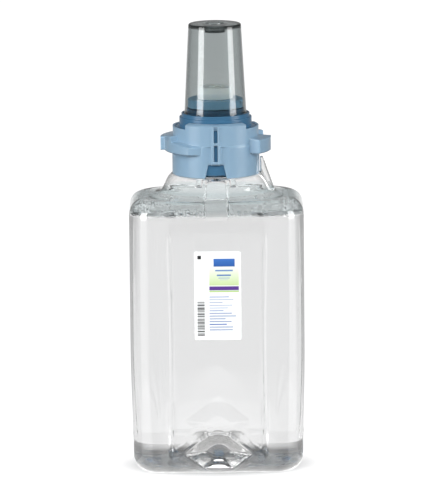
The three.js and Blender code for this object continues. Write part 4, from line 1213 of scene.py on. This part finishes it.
@dataclass
class Collar:
    """Snap collar: skirt and wall with a tear line, a pry notch, windows and two ramped lugs."""

    bottom_z: float
    flange_z: float  # underside of the lip at the bore
    bore: float = 25.9
    hook_reach: float = 0.8
    hook_height: float = 1.3
    hook_top: float = 0.1  # the hook's ledge is this steep
    skirt: float = 27.5
    wall: float = 27.1
    skirt_height: float = 20.0
    lip_inner: float = 23.1
    lip_thickness: float = 3.2
    lip_slope: float = 0.8
    lip_steps: int = 5
    edge: float = 0.9
    window_start: float = 45.0
    window_span: float = 90.0
    window_foot: float = 0.3
    lug: float = 34.8
    ramp: float = 32.0
    lug_rise: float = 14.5
    lug_height: float = 9.0
    ramp_drop: float = 3.6
    bend_foot: float = 0.6  # over the lug's underside, where levels start to bend with the ramp
    bend_edge: float = 0.4  # on both sides of its top, where they bend in full
    bend_head: float = 2.5  # under the wall's top, where they are level again
    lug_start: float = 52.0
    lug_span: float = 40.0
    ramp_span: float = 68.0
    ramp_tail: float = 12.0
    lug_wrap: float = 170.0  # degrees along a lug after which an angle counts as before the next one
    stop_start: float = 58.0
    stop_span: float = 8.0
    stop_height: float = 1.6
    land: float = 26.2  # distance of the flat land round the tear line
    land_half: float = 0.5  # radians
    rib_foot: float = 3.15  # half width of the tear rib below the seam
    rib_top: float = 2.05
    rib: float = 27.9
    rib_overlap: float = 0.1  # how far it reaches under the notch's top
    slot_half: float = 1.15
    slot_bridge: float = 1.8
    slot_foot: float = 2.1
    slot_head: float = 0.5
    notch_height: float = 8.5
    notch_top: float = 5.0
    notch_bottom: float = 7.0
    notch_limit: float = 32.0  # degrees from the front to where columns no longer lean with the notch
    soft: float = 0.25  # half the width of a step's rounded edge
    level_gap: float = 1.1
    level_clear: float = 0.3  # least distance of an even level from a step
    column_gap: float = 2.0  # degrees
    column_clear: float = 0.5

    @property
    def wall_top(self) -> float:
        """Height of the wall's top edge."""
        return self.flange_z + self.lip_thickness

    @property
    def seam_z(self) -> float:
        """Height of the seam between skirt and wall."""
        return self.bottom_z + self.skirt_height

    @property
    def notch_z(self) -> float:
        """Height of the notch's top."""
        return self.bottom_z + self.notch_height

    @property
    def hook_z(self) -> float:
        """Height of the hook's ledge."""
        return self.bottom_z + self.hook_height

    @property
    def lug_levels(self) -> tuple[float, float]:
        """Underside and top of the lugs."""
        return self.bottom_z + self.lug_rise, self.bottom_z + self.lug_rise + self.lug_height

    @property
    def slots(self) -> tuple[tuple[float, float], tuple[float, float]]:
        """Foot and head of the lower and the upper slot."""
        foot = self.notch_z + self.slot_foot
        head = self.wall_top - self.slot_head
        height = (head - foot - self.slot_bridge) / 2
        return (foot, foot + height), (head - height, head)

    def heights(self) -> Array:
        """Levels up the wall, with close pairs at each step."""
        low_slot, high_slot = self.slots
        marks = np.array([self.seam_z, *self.lug_levels])
        pairs = np.concatenate([marks - self.soft, marks, marks + self.soft])
        window_z = self.flange_z + self.window_foot
        cuts = np.array([self.hook_z, self.hook_z + self.hook_top, self.notch_z, *low_slot, *high_slot, window_z])
        top = self.wall_top - self.edge
        even = np.arange(self.bottom_z, top, self.level_gap)
        even = even[np.min(np.abs(even[:, None] - np.concatenate([pairs, cuts])), axis=1) > self.level_clear]
        ends = np.array([self.bottom_z, self.bottom_z + self.soft, top])
        return np.unique(np.round(np.concatenate([pairs, cuts, even, ends]), 4))

    def angles(self) -> Array:
        """Angles from the front in degrees, with close sets at each step and cut."""
        stop = self.stop_start + np.array([0, self.stop_span])
        lugs = self.lug_start + np.array([0, self.lug_span, *stop, self.lug_span + self.ramp_span])
        ribs = np.array([degrees_of(self.rib_foot, self.rib), degrees_of(self.rib_top, self.rib)])
        steps = np.concatenate([lugs, lugs + 180, ribs, -ribs])
        soft = math.degrees(self.soft / self.wall)
        window = self.window_start + np.array([0, self.window_span])
        slot, notch = degrees_of(self.slot_half, self.rib), degrees_of(self.notch_top, self.skirt)
        cuts = np.concatenate([window, window + 180, [slot, -slot, notch, -notch]])
        special = np.concatenate([steps - soft, steps, steps + soft, cuts])
        special = (special + 180) % 360 - 180
        even = np.arange(-180, 180, self.column_gap)
        even = even[np.min(np.abs(even[:, None] - special), axis=1) > self.column_clear]
        return np.unique(np.round(np.concatenate([even, special]), 4))

    def lug_share(self, degrees: Array) -> tuple[Array, Array, Array, Array, Array]:
        """For each angle: how far it is in the block, the lug and the stop, along the ramp and its tail."""
        turned = (degrees - self.lug_start) % 180
        soft = math.degrees(self.soft / self.wall)
        end = self.lug_span + self.ramp_span

        def within(low: float, high: float) -> Array:
            """1 between two angles, easing to 0 at each end."""
            shifted = np.where(turned > self.lug_wrap, turned - 180, turned)
            rise = smoothstep(low - soft, low + soft, shifted)
            return rise * (1 - smoothstep(high - soft, high + soft, shifted))

        tail_start = end - self.ramp_tail
        along = np.clip((turned - self.lug_span) / (tail_start - self.lug_span), 0, 1)
        along = np.where(turned > end + 1.5 * soft, 0, along)
        tail = np.clip((turned - tail_start) / self.ramp_tail, 0, 1)
        stop = within(self.stop_start, self.stop_start + self.stop_span)
        return within(0, self.lug_span), within(0, end), stop, along, tail

    def leaning(self, turn: Array, z: Array) -> Array:
        """Angles of the columns near the front, which lean with the sides of the notch below its top."""
        notch = math.asin(self.notch_top / self.skirt)
        wide = math.asin(self.notch_bottom / self.skirt)
        limit = math.radians(self.notch_limit)
        climb = np.clip((z - self.bottom_z) / self.notch_height, 0, 1)
        at = wide + (notch - wide) * climb
        size = np.abs(turn)
        spread = np.where(size < notch, size * at / notch, at + (size - notch) * (limit - at) / (limit - notch))
        return np.where(size < limit, np.sign(turn) * spread, turn + 0 * z)

    def front(self, turn: Array, z: Array) -> Array:
        """Radius of the outside without its lugs: skirt or wall, cut by the land, raised by the tear rib."""
        below = smoothstep(self.seam_z - self.soft, self.seam_z + self.soft, z)
        radius = self.skirt + (self.wall - self.skirt) * below
        near = np.abs(turn) < self.land_half
        facing = np.where(near, np.cos(turn), 1)
        flat = np.where(near, self.land / facing, self.skirt)
        radius = np.where(below < 0.5, np.minimum(radius, flat), radius)
        rib_turn = np.arcsin(np.where(z < self.seam_z, self.rib_foot, self.rib_top) / self.rib)
        soft = self.soft / self.wall
        rib = 1 - smoothstep(rib_turn - soft, rib_turn + soft, np.abs(turn))
        rib = rib * (z > self.notch_z - self.rib_overlap)
        return radius + (self.rib / facing - radius) * rib

    def grids(self) -> tuple[Array, Array, Array]:
        """Outer points, inner points and the mask of solid cells.

        The outside's radius at an angle and a height is that of the front, raised by the lugs. Each
        ramp's levels are bent down along it. Over the wall the outside turns in along the lip.
        """
        levels, degrees = self.heights(), self.angles()
        block, lug, stop, along, tail = self.lug_share(degrees)
        low, high = self.lug_levels
        z = np.repeat(levels[:, None], len(degrees), axis=1)
        turn = self.leaning(np.radians(degrees)[None], z)
        radius = self.front(turn, z)
        here = smoothstep(low - self.soft, low + self.soft, z)
        here = here * (1 - smoothstep(high - self.soft, high + self.soft, z))
        reach = self.ramp + (self.lug - self.ramp) * block - (self.ramp - self.wall) * tail
        radius = radius + (reach - radius) * here * lug
        full = high - self.bend_edge, high + self.bend_edge
        bend = np.interp(z, [low + self.bend_foot, *full, self.wall_top - self.bend_head], [0, 1, 1, 0])
        height = z + (self.stop_height * stop - self.ramp_drop * along * (1 - stop)) * bend
        hook = [self.bottom_z, self.hook_z, self.hook_z + self.hook_top]
        bore = self.bore - np.interp(z, hook, [0, self.hook_reach, 0])
        lip_out, lip_in = self.lip(turn[-1], radius[-1])
        outer = np.concatenate([round_the_neck(radius, turn, height), lip_out])
        inner = np.concatenate([round_the_neck(bore, turn, np.minimum(height, self.flange_z)), lip_in])
        return outer, inner, self.mask(levels, degrees, len(lip_out))

    def lip(self, turn: Array, start: Array) -> tuple[Array, Array]:
        """Levels of the lip: round over the wall's edge, then in to the pump's ring."""
        a = np.linspace(0, math.pi / 2, self.lip_steps + 1)[1:, None]
        round_r = start - self.edge * (1 - np.cos(a))
        round_z = self.wall_top - self.edge + self.edge * np.sin(a) + 0 * round_r
        s = np.linspace(0, 1, self.lip_steps + 1)[1:, None]
        run_r = round_r[-1] + (self.lip_inner - round_r[-1]) * s
        run_z = self.wall_top + self.lip_slope * s + 0 * run_r
        r, z = np.vstack([round_r, run_r]), np.vstack([round_z, run_z])
        share = np.linspace(0, 1, len(r))[:, None]
        under_r = self.bore + (self.lip_inner - self.bore) * share + 0 * r
        under_z = self.flange_z + self.lip_slope * share + 0 * r
        return round_the_neck(r, turn, z), round_the_neck(under_r, turn, under_z)

    def mask(self, levels: Array, degrees: Array, lip_levels: int) -> Array:
        """Which cells hold plastic: all but the windows, the slots and the notch."""
        z = np.concatenate([(levels[1:] + levels[:-1]) / 2, np.full(lip_levels, self.wall_top)])[:, None]
        middle = ((degrees + np.append(degrees[1:], degrees[0] + 360)) / 2)[None]
        turned = (middle - self.window_start) % 180
        window = (turned < self.window_span) & (z > self.flange_z + self.window_foot)
        size = np.abs((middle + 180) % 360 - 180)
        on_slot = np.any([(z > foot) & (z < head) for foot, head in self.slots], axis=0)
        lip = np.arange(len(z))[:, None] >= len(levels) - 1
        slot = (size < degrees_of(self.slot_half, self.rib)) & on_slot & ~lip
        notch = (size < degrees_of(self.notch_top, self.skirt)) & (z < self.notch_z)
        return ~(window | slot | notch)

    def build(self) -> bpy.types.Object:
        """Makes the collar."""
        surface = shell_with_openings(*self.grids())
        slot, node = "pale_blue_plastic", ("snap_collar",)
        return Piece("bayonet_collar", surface, PALE_BLUE, Body.REFILL, slot, node, Smoothing.WEIGHTED).build()


# The pump


def stepped(*walls: tuple[float, float]) -> list[tuple[float, float]]:
    """Corners of a closed outline of upright walls, each given by its radius and the height where it ends."""
    after = (*walls[1:], walls[0])
    return [(radius, z) for (here, z), (there, _) in zip(walls, after) for radius in (here, there)]


@dataclass
class Pump:
    """Foam pump: housing, retainer, piston, nozzle and return spring, all turned about the neck's axis."""

    skirt_z: float
    flange_z: float
    deck_z: float
    floor_z: float
    disc_top: float
    head_top: float
    nozzle_top: float
    ring_top: float
    cap_seat: float
    # Housing
    skirt: float = 25.6
    skirt_bore: float = 24.7
    hook: float = 24.0
    hook_height: float = 2.2
    flange: float = 2.3
    ring: float = 22.8
    ring_slope: float = 0.5
    ring_rise: float = 8.5
    ring_step: float = 21.5
    ring_bore: float = 20.3
    air_bore: float = 18.2
    cylinder: float = 19.6
    plug: float = 21.3
    plug_depth: float = 6.0
    plug_lead: float = 1.5
    liquid_tube: float = 7.5
    liquid_bore: float = 6.1
    liquid_rise: float = 15.4
    floor: float = 1.6
    valve_hole: float = 1.6
    housing_round: float = 0.35
    # Retainer
    guide: float = 10.5
    retainer_rim: float = 20.0
    retainer_deck: float = 2.2
    spigot: float = 17.98
    spigot_bore: float = 17.55
    spigot_height: float = 4.2
    retainer_round: float = 0.2
    # Piston
    mixing_bore: float = 2.2
    stem: float = 4.6
    stem_length: float = 14.5
    stem_groove: float = 3.8
    stem_groove_rise: tuple[float, float] = (1.0, 3.4)
    head: float = 17.9
    head_height: float = 4.1
    head_groove: float = 16.5
    head_groove_rise: tuple[float, float] = (1.05, 3.05)
    tube: float = 10.2
    disc: float = 17.3
    disc_thickness: float = 2.6
    disc_skirt: float = 16.1
    disc_drop: float = 5.4
    nozzle_seat: float = 7.05
    nozzle_seat_rise: float = 3.8
    chamber: float = 6.4
    chamber_rise: float = 0.8
    piston_round: float = 0.3
    # Nozzle
    mouth: float = 4.2
    nozzle_spigot: float = 6.9
    nozzle_spigot_depth: float = 2.2
    nozzle_foot: float = 11.0
    nozzle_foot_height: float = 3.7
    nozzle_tip: float = 9.6
    nozzle_round: float = 0.5
    # Spring
    coil: float = 9.6
    wire: float = 0.5
    turns: int = 6
    turn_steps: int = 40
    wire_sides: int = 12
    end_slope: int = 400  # how fast the wire closes at its ends, along its length

    def housing(self) -> Surface:
        """The housing: hooked skirt, flange, two-step ring, plug, air cylinder and liquid cylinder."""
        flange, floor, skirt = self.flange_z, self.floor_z, self.skirt_z
        step_z, tube_z, plug_z = flange + self.ring_rise, floor + self.liquid_rise, flange - self.plug_depth
        outline = [
            (self.skirt_bore, flange),
            (self.skirt_bore, skirt + self.hook_height),
            (self.hook, skirt + self.hook_height),
            (self.hook, skirt + self.hook_height / 2),
            (self.skirt_bore, skirt),
            (self.skirt, skirt),
            (self.skirt, flange + self.flange),
            (self.ring, flange + self.flange + self.ring_slope),
            (self.ring, step_z),
            (self.ring_step, step_z),
            (self.ring_step, self.ring_top),
            (self.ring_bore, self.ring_top),
            (self.ring_bore, self.deck_z),
            (self.air_bore, self.deck_z),
            (self.air_bore, floor),
            (self.liquid_tube, floor),
            (self.liquid_tube, tube_z),
            (self.liquid_bore, tube_z),
            (self.liquid_bore, floor),
            (self.valve_hole, floor),
            (self.valve_hole, floor - self.floor),
            (self.cylinder, floor - self.floor),
            (self.cylinder, plug_z - self.plug_lead),
            (self.plug, plug_z),
            (self.plug, flange),
        ]
        return revolved(outline, self.housing_round)

    def retainer(self) -> Surface:
        """The ring that keeps the piston in, and carries the cap on its seat and round its thin spigot."""
        outline = stepped(
            (self.guide, self.deck_z),
            (self.retainer_rim, self.cap_seat),
            (self.spigot, self.cap_seat + self.spigot_height),
            (self.spigot_bore, self.deck_z + self.retainer_deck),
        )
        return revolved(outline, self.retainer_round)

    def piston(self) -> Surface:
        """The piston: stem, head with its seal groove, neck tube and gripping disc with a short skirt."""
        top, head = self.disc_top, self.head_top
        low = head - self.head_height
        foot = low - self.stem_length
        stem_low, stem_high = (foot + rise for rise in self.stem_groove_rise)
        head_low, head_high = (low + rise for rise in self.head_groove_rise)
        outline = stepped(
            (self.mixing_bore, foot),
            (self.stem, stem_low),
            (self.stem_groove, stem_high),
            (self.stem, low),
            (self.head, head_low),
            (self.head_groove, head_high),
            (self.head, head),
            (self.tube, top - self.disc_thickness),
            (self.disc_skirt, top - self.disc_drop),
            (self.disc, top),
            (self.nozzle_seat, head + self.nozzle_seat_rise),
            (self.chamber, head + self.chamber_rise),
        )
        return revolved(outline, self.piston_round)

    def nozzle(self) -> Surface:
        """The outlet nozzle: spigot, foot and tapered mouth."""
        disc, top = self.disc_top, self.nozzle_top
        low = disc - self.nozzle_spigot_depth
        outline = [
            (self.mouth, low),
            (self.nozzle_spigot, low),
            (self.nozzle_spigot, disc),
            (self.nozzle_foot, disc),
            (self.nozzle_foot, disc + self.nozzle_foot_height),
            (self.nozzle_tip, top),
            (self.mouth, top),
        ]
        return revolved(outline, self.nozzle_round)

    def spring(self, low_z: float, high_z: float) -> Surface:
        """The return spring: a round wire carried along a helix, and closed to a point at its ends.

        With h along the wire and a round it, the point is the helix (coil cos h, coil sin h, rise h)
        plus the wire's radius times (cos a along the radius, sin a along Z).

        Args:
            low_z: its lower end.
            high_z: its upper end.

        Returns:
            The wire's surface.
        """
        share = np.linspace(0, 1, self.turns * self.turn_steps)[:, None]
        h = share * self.turns * FULL_TURN
        a = np.arange(self.wire_sides)[None] * FULL_TURN / self.wire_sides
        end = np.minimum(np.minimum(share, 1 - share) * self.end_slope, 1)
        r = self.coil + self.wire * end * np.cos(a)
        z = low_z + self.wire + (high_z - low_z - 2 * self.wire) * share - self.wire * end * np.sin(a)
        return Surface.of_grid(np.stack([r * np.cos(h), r * np.sin(h), z], axis=-1))

    def build(self) -> list[bpy.types.Object]:
        """Makes the pump's pieces, reads the piston's stroke, and gives the spring a mesh of its own."""
        refill, plunger, weighted = Body.REFILL, Body.PLUNGER, Smoothing.WEIGHTED
        blue, natural = "deep_blue_plastic", "natural_plastic"
        low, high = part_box("return_spring")
        wire = self.spring(low.z / MM, high.z / MM)
        made = [
            Piece("pump_body", self.housing(), DEEP_BLUE, refill, blue, ("pump_housing",), weighted),
            Piece("retainer_ring", self.retainer(), DEEP_BLUE, refill, blue, ("piston_retainer",), weighted),
            Piece("plunger_piston", self.piston(), LIT_DEEP_BLUE, plunger, blue, ("piston",), weighted),
            Piece("foam_nozzle", self.nozzle(), NATURAL, plunger, natural, ("outlet_nozzle",), weighted),
            Piece("coil_spring", wire, SPRING_WIRE, refill, "spring_steel", ("return_spring",)),
        ]
        objects = [piece.build() for piece in made]
        stroke = next(joint for joint in frame["joints"] if joint["name"] == "piston_stroke")
        travel = max(abs(value) for value in stroke["range_m"])
        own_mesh(objects[-1])
        return objects


@dataclass
class DustCap:
    """Smoked cap: a tapered cup with a snap bead and a small well in its top."""

    seat_z: float
    top_z: float
    foot: float = 19.6
    top: float = 16.6
    wall: float = 1.2
    top_wall: float = 1.6
    bead: float = 0.3
    bead_rise: float = 0.8
    well: float = 5.7
    well_depth: float = 4.0
    edge: float = 1.2
    sides: int = 192

    def radius_at(self, z: float) -> float:
        """Radius of the tapered outside at a height."""
        return self.foot + (self.top - self.foot) * (z - self.seat_z) / (self.top_z - self.seat_z)

    def surface(self) -> Surface:
        """The cup's wall turned about the axis, with rounded edges."""
        low, high = self.seat_z, self.top_z
        ceiling, floor = high - self.top_wall, high - self.well_depth
        bead, over_bead = low + self.bead_rise, low + 2 * self.bead_rise
        outline = [
            (self.foot - self.wall, low),
            (self.foot, low),
            (self.foot + self.bead, bead),
            (self.radius_at(over_bead), over_bead),
            (self.top, high),
            (self.well, high),
            (self.well, floor),
            (0.0, floor),
            (0.0, floor - self.top_wall),
            (self.well + self.wall, floor - self.top_wall),
            (self.well + self.wall, ceiling),
            (self.radius_at(ceiling) - self.wall, ceiling),
        ]
        return revolved(outline, self.edge, self.sides)

    def build(self) -> bpy.types.Object:
        """Makes the cap."""
        slot, node = "smoked_plastic", ("dust_cap",)
        return Piece("smoked_cap", self.surface(), SMOKED_CAP, Body.CAP, slot, node, Smoothing.WEIGHTED).build()


INNER_FINISHES: dict[str, Finish] = {
    "neck_gasket": FOAM_PAD,
    "inlet_valve": SILICONE,
    "air_piston_seal": SILICONE,
    "liquid_piston_seal": SILICONE,
    "air_intake_flap": SILICONE,
    "liquid_outlet_valve": SILICONE,
    "mesh_cartridge": NATURAL,
    "coarse_mesh": NYLON_COARSE,
    "fine_mesh": NYLON_FINE,
}


def dress_inner_pieces() -> None:
    """Gives the small pieces inside the pump their finishes."""
    for name, finish in INNER_FINISHES.items():
        materials = frame["nodes"][name].data.materials
        materials.clear()
        materials.append(finish.build())
        LOG.info("%s: %s", name, finish.name)


# The studio


@dataclass
class Studio:
    """White sweep, two wide soft lights at the sides and a long-lens camera in front.

    What the camera sees behind the object is white. What shows in the clear pieces is the same
    studio, which gets greyer towards its sides, so their edges draw dark lines.
    """

    aim: Vector = field(default_factory=lambda: Vector((-2.3 * MM, 0, 141.3 * MM)))
    distance: float = 4.0
    elevation: float = 9.6
    roll: float = 0.54
    image_height: int = 488
    sensor: float = 36.0
    mm_per_pixel: float = 0.632
    softboxes: tuple[tuple[float, float], ...] = ((-60.0, 10.4), (70.0, 8.8))  # azimuth and watts
    softbox_size: tuple[float, float] = (0.62, 0.75)
    softbox_distance: float = 1.3
    softbox_height: float = 0.45
    fill_place: tuple[float, float, float] = (0, -1.6, 1.1)
    fill_size: tuple[float, float] = (1.2, 0.8)
    fill_watts: float = 27.0
    # What clear pieces show, as degrees from straight behind round to the front, and brightness.
    surround: tuple[tuple[float, float], ...] = ((0, 0.88), (6, 0.88), (22, 0.42), (55, 0.14), (180, 0.1))
    above: float = 0.26  # what they show above the horizon
    horizon: float = 0.17  # how far over the horizon the surround has turned into that
    ambient: float = 0.27
    inside: float = 1.6  # light that reaches the pieces inside clear ones
    floor_half: float = 6.0
    floor_z: float = -0.2 * MM
    floor_colour: str = "7F8081"
    floor_back: float = 0.3  # the floor's grading starts this far in front of the object, in metres
    floor_share: float = 0.92
    strip: float = 0.7  # brightness of the softboxes' painted reflections in the floor
    strip_half: tuple[float, float] = (12, 20)  # degrees from a strip's middle to where it fades and ends
    footprint: tuple[float, float] = (55 * MM, 38 * MM)
    contact_reach: tuple[float, float] = (0.7, 1.4)  # shares of the footprint where its painted shadow fades and ends
    contact_share: float = 0.5  # painted shadow: share of the floor's light that the camera sees under the object
    under: float = 2.6  # painted pool of light: share of it that clear pieces show, brighter than the floor round it
    path_steps: int = 32

    def camera(self) -> None:
        """Sets a long lens whose scale at the axis is mm_per_pixel."""
        data = bpy.data.cameras.new("camera")
        data.sensor_fit = "VERTICAL"
        data.sensor_height = self.sensor
        data.lens = self.distance / MM * self.sensor / self.image_height / self.mm_per_pixel
        camera = bpy.data.objects.new("camera", data)
        tilt = math.radians(self.elevation)
        camera.location = self.aim + self.distance * Vector((0, -math.cos(tilt), math.sin(tilt)))
        camera.rotation_euler = Euler((math.pi / 2 - tilt, 0, 0))
        camera.rotation_euler.rotate_axis("Z", math.radians(-self.roll))
        bpy.context.scene.collection.objects.link(camera)
        bpy.context.scene.camera = camera

    def level(self, tree: bpy.types.NodeTree, place: bpy.types.NodeSocket, share: float) -> bpy.types.Node:
        """Brightness of the studio in a direction, for each kind of ray.

        Camera rays get white and diffuse rays none. Clear and glossy pieces get the surround: its
        level round the object, from behind to the front, which eases to one grey above the horizon.
        Rays that left a matt piece inside a clear one get more, as the lamps' light goes in there too.

        Args:
            tree: the tree that it goes in.
            place: a direction, or a point whose direction from the object counts.
            share: how much of the surround is shown.

        Returns:
            The node that gives the brightness.
        """
        path = add_node(tree, "LightPath").outputs
        x, y, z = add_node(tree, "SeparateXYZ", add_node(tree, "VectorMath:NORMALIZE", place)).outputs
        turn = add_node(tree, "Math:ARCTAN2", add_node(tree, "Math:ABSOLUTE", x), y)
        ramp = add_node(tree, "ValToRGB", add_node(tree, "Math:DIVIDE", turn, math.pi))
        ramp.color_ramp.interpolation = "EASE"
        stops = ramp.color_ramp.elements
        stops.remove(stops[0])
        for number, (degrees, grey) in enumerate(self.surround):
            stop = stops[0] if number == 0 else stops.new(degrees / 180)
            stop.position = degrees / 180
            stop.color = (grey * share, grey * share, grey * share, 1)
        high = add_node(tree, "MapRange", z, 0.0, self.horizon, settings=EASED)
        graded = add_node(tree, "Mix", Factor=high, A=ramp.outputs["Color"], B=self.above)
        lit = add_node(tree, "Math:MULTIPLY_ADD", path["Diffuse Depth"], self.inside, graded)
        clear = add_node(tree, "Math:MAXIMUM", path["Is Glossy Ray"], path["Is Transmission Ray"])
        return add_node(tree, "Math:MULTIPLY_ADD", clear, lit, path["Is Camera Ray"])

    def world(self) -> None:
        """White for the camera, a graded studio for clear pieces and a plain light for the rest."""
        world = bpy.data.worlds.new("studio")
        world.use_nodes = True
        tree = world.node_tree
        tree.nodes.clear()
        level = self.level(tree, add_node(tree, "TexCoord").outputs["Generated"], 1.0)
        diffuse = add_node(tree, "LightPath").outputs["Is Diffuse Ray"]
        sky = add_node(tree, "Background", Strength=add_node(tree, "Math:MULTIPLY_ADD", diffuse, self.ambient, level))
        add_node(tree, "OutputWorld", Surface=sky)
        bpy.context.scene.world = world

    def contact(self, tree: bpy.types.NodeTree, place: bpy.types.NodeSocket) -> bpy.types.Node:
        """Painted shadow and pool of light: share of the floor's glow that is left under and close round the object,
        less for the camera and more for clear pieces.
        """
        scaled = add_node(tree, "VectorMath:DIVIDE", place, (*self.footprint, 1.0))
        reach = add_node(tree, "VectorMath:LENGTH", scaled)
        camera = add_node(tree, "LightPath").outputs["Is Camera Ray"]
        least = add_node(tree, "MapRange", camera, To_Min=self.under, To_Max=self.contact_share)
        return add_node(tree, "MapRange", reach, *self.contact_reach, least, 1.0, settings=EASED)

    def mirrored(self, tree: bpy.types.NodeTree, place: bpy.types.NodeSocket) -> bpy.types.Node:
        """Painted reflections of the softboxes in the floor, as strips of glow towards each, for glossy rays only."""
        x, y, _ = add_node(tree, "SeparateXYZ", place).outputs
        turn = add_node(tree, "Math:ARCTAN2", x, add_node(tree, "Math:MULTIPLY", y, -1.0))
        near, far = (math.radians(half) for half in self.strip_half)
        total = 0.0
        for azimuth, _ in self.softboxes:
            away = add_node(tree, "Math:ABSOLUTE", add_node(tree, "Math:SUBTRACT", turn, math.radians(azimuth)))
            strip = add_node(tree, "MapRange", away, near, far, self.strip, 0.0, settings=EASED)
            total = add_node(tree, "Math:ADD", total, strip)
        return add_node(tree, "Math:MULTIPLY", add_node(tree, "LightPath").outputs["Is Glossy Ray"], total)

    def floor(self) -> None:
        """A wide white floor that keeps the object's cast shadow, deepened by a painted shadow round its foot, and
        shows painted reflections of the softboxes to glossy pieces.
        """
        half = self.floor_half
        mesh = bpy.data.meshes.new("floor")
        corners = [(-half, -half), (half, -half), (half, half), (-half, half)]
        mesh.from_pydata([(x, y, self.floor_z) for x, y in corners], [], [(0, 1, 2, 3)])
        material, tree, output = new_material("white studio floor")
        place = add_node(tree, "TexCoord").outputs["Object"]
        moved = add_node(tree, "VectorMath:ADD", place, (0, self.floor_back, 0))
        level = self.level(tree, moved, self.floor_share)
        light = add_node(tree, "Math:MULTIPLY_ADD", level, self.contact(tree, place), self.mirrored(tree, place))
        matt = add_node(tree, "BsdfDiffuse", Color=linear(self.floor_colour))
        both = add_node(tree, "AddShader", matt, add_node(tree, "Emission", Strength=light))
        tree.links.new(both.outputs["Shader"], output.inputs["Surface"])
        mesh.materials.append(material)
        floor = bpy.data.objects.new("floor", mesh)
        bpy.context.scene.collection.objects.link(floor)
        floor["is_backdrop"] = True

    def lamp(self, name: str, place: Vector, size: tuple[float, float], watts: float, shows: bool) -> None:
        """A rectangular soft light that faces the object's middle, and may show in shiny pieces."""
        data = bpy.data.lights.new(name, "AREA")
        data.shape = "RECTANGLE"
        data.size, data.size_y = size
        data.energy = watts
        lamp = bpy.data.objects.new(name, data)
        lamp.visible_glossy = lamp.visible_transmission = shows
        lamp.location = place
        lamp.rotation_euler = (self.aim - place).to_track_quat("-Z", "Y").to_euler()
        bpy.context.scene.collection.objects.link(lamp)

    def build(self) -> None:
        """Makes the camera, the surroundings, the floor and the lights."""
        self.camera()
        self.world()
        self.floor()
        for number, (azimuth, watts) in enumerate(self.softboxes):
            turn = math.radians(azimuth)
            place = Vector((math.sin(turn), -math.cos(turn), 0)) * self.softbox_distance
            place.z = self.softbox_height
            self.lamp(f"softbox_{number}", place, self.softbox_size, watts, True)
        self.lamp("fill", Vector(self.fill_place), self.fill_size, self.fill_watts, False)
        bpy.context.scene.view_settings.view_transform = "Standard"
        # Light crosses the bottle, its contents and the pump in one path, so paths are let run long.
        cycles = bpy.context.scene.cycles
        cycles.max_bounces = cycles.transmission_bounces = self.path_steps
        cycles.glossy_bounces = self.path_steps // 2


def write_sizes() -> None:
    """Works out the CAD box and the visual model's box, as plain numbers."""
    boxes = {"cad": CAD_BOX, "visual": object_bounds()}
    plain = {name: [list(corner) for corner in corners] for name, corners in boxes.items()}


SEAT_GAP = 0.3  # between pieces that fit together, in millimetres
FIN_RISE = 10.0  # the fin's top over the collar's foot
RING_DROP = 1.9  # how much lower the pump's ring stands than its CAD node


def node_span(name: str) -> tuple[float, float]:
    """Lowest and highest point of a CAD node, in millimetres."""
    low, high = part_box(name)
    return low.z / MM, high.z / MM


def main() -> None:
    """Builds every sub-assembly in order, then the studio."""
    logging.basicConfig(level=logging.INFO, format="%(name)s %(message)s")
    low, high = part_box("bottle")
    collar = node_span("snap_collar")[0]
    flange = node_span("neck_gasket")[1]
    deck, cap_seat = node_span("piston_retainer")
    housing, housing_top = node_span("pump_housing")
    bottle = Bottle((high.x - low.x) / MM, (high.y - low.y) / MM, high.z / MM)
    bottle.build(fin_r=Collar.skirt + SEAT_GAP, fin_top=collar + FIN_RISE)
    Sanitizer(bottle, node_span("sanitizer_liquid")[1]).build()
    Label(*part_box("front_label")).build()
    Collar(bottom_z=collar, flange_z=flange + Pump.flange + SEAT_GAP).build()
    Pump(
        skirt_z=collar + Collar.hook_height + SEAT_GAP,
        flange_z=flange,
        deck_z=deck,
        floor_z=housing + Pump.floor,
        disc_top=node_span("piston")[1],
        head_top=deck - SEAT_GAP,
        nozzle_top=node_span("outlet_nozzle")[1],
        ring_top=housing_top - RING_DROP,
        cap_seat=cap_seat,
    ).build()
    DustCap(*node_span("dust_cap")).build()
    dress_inner_pieces()
    Studio().build()
    write_sizes()


if __name__ == "__main__":
    main()
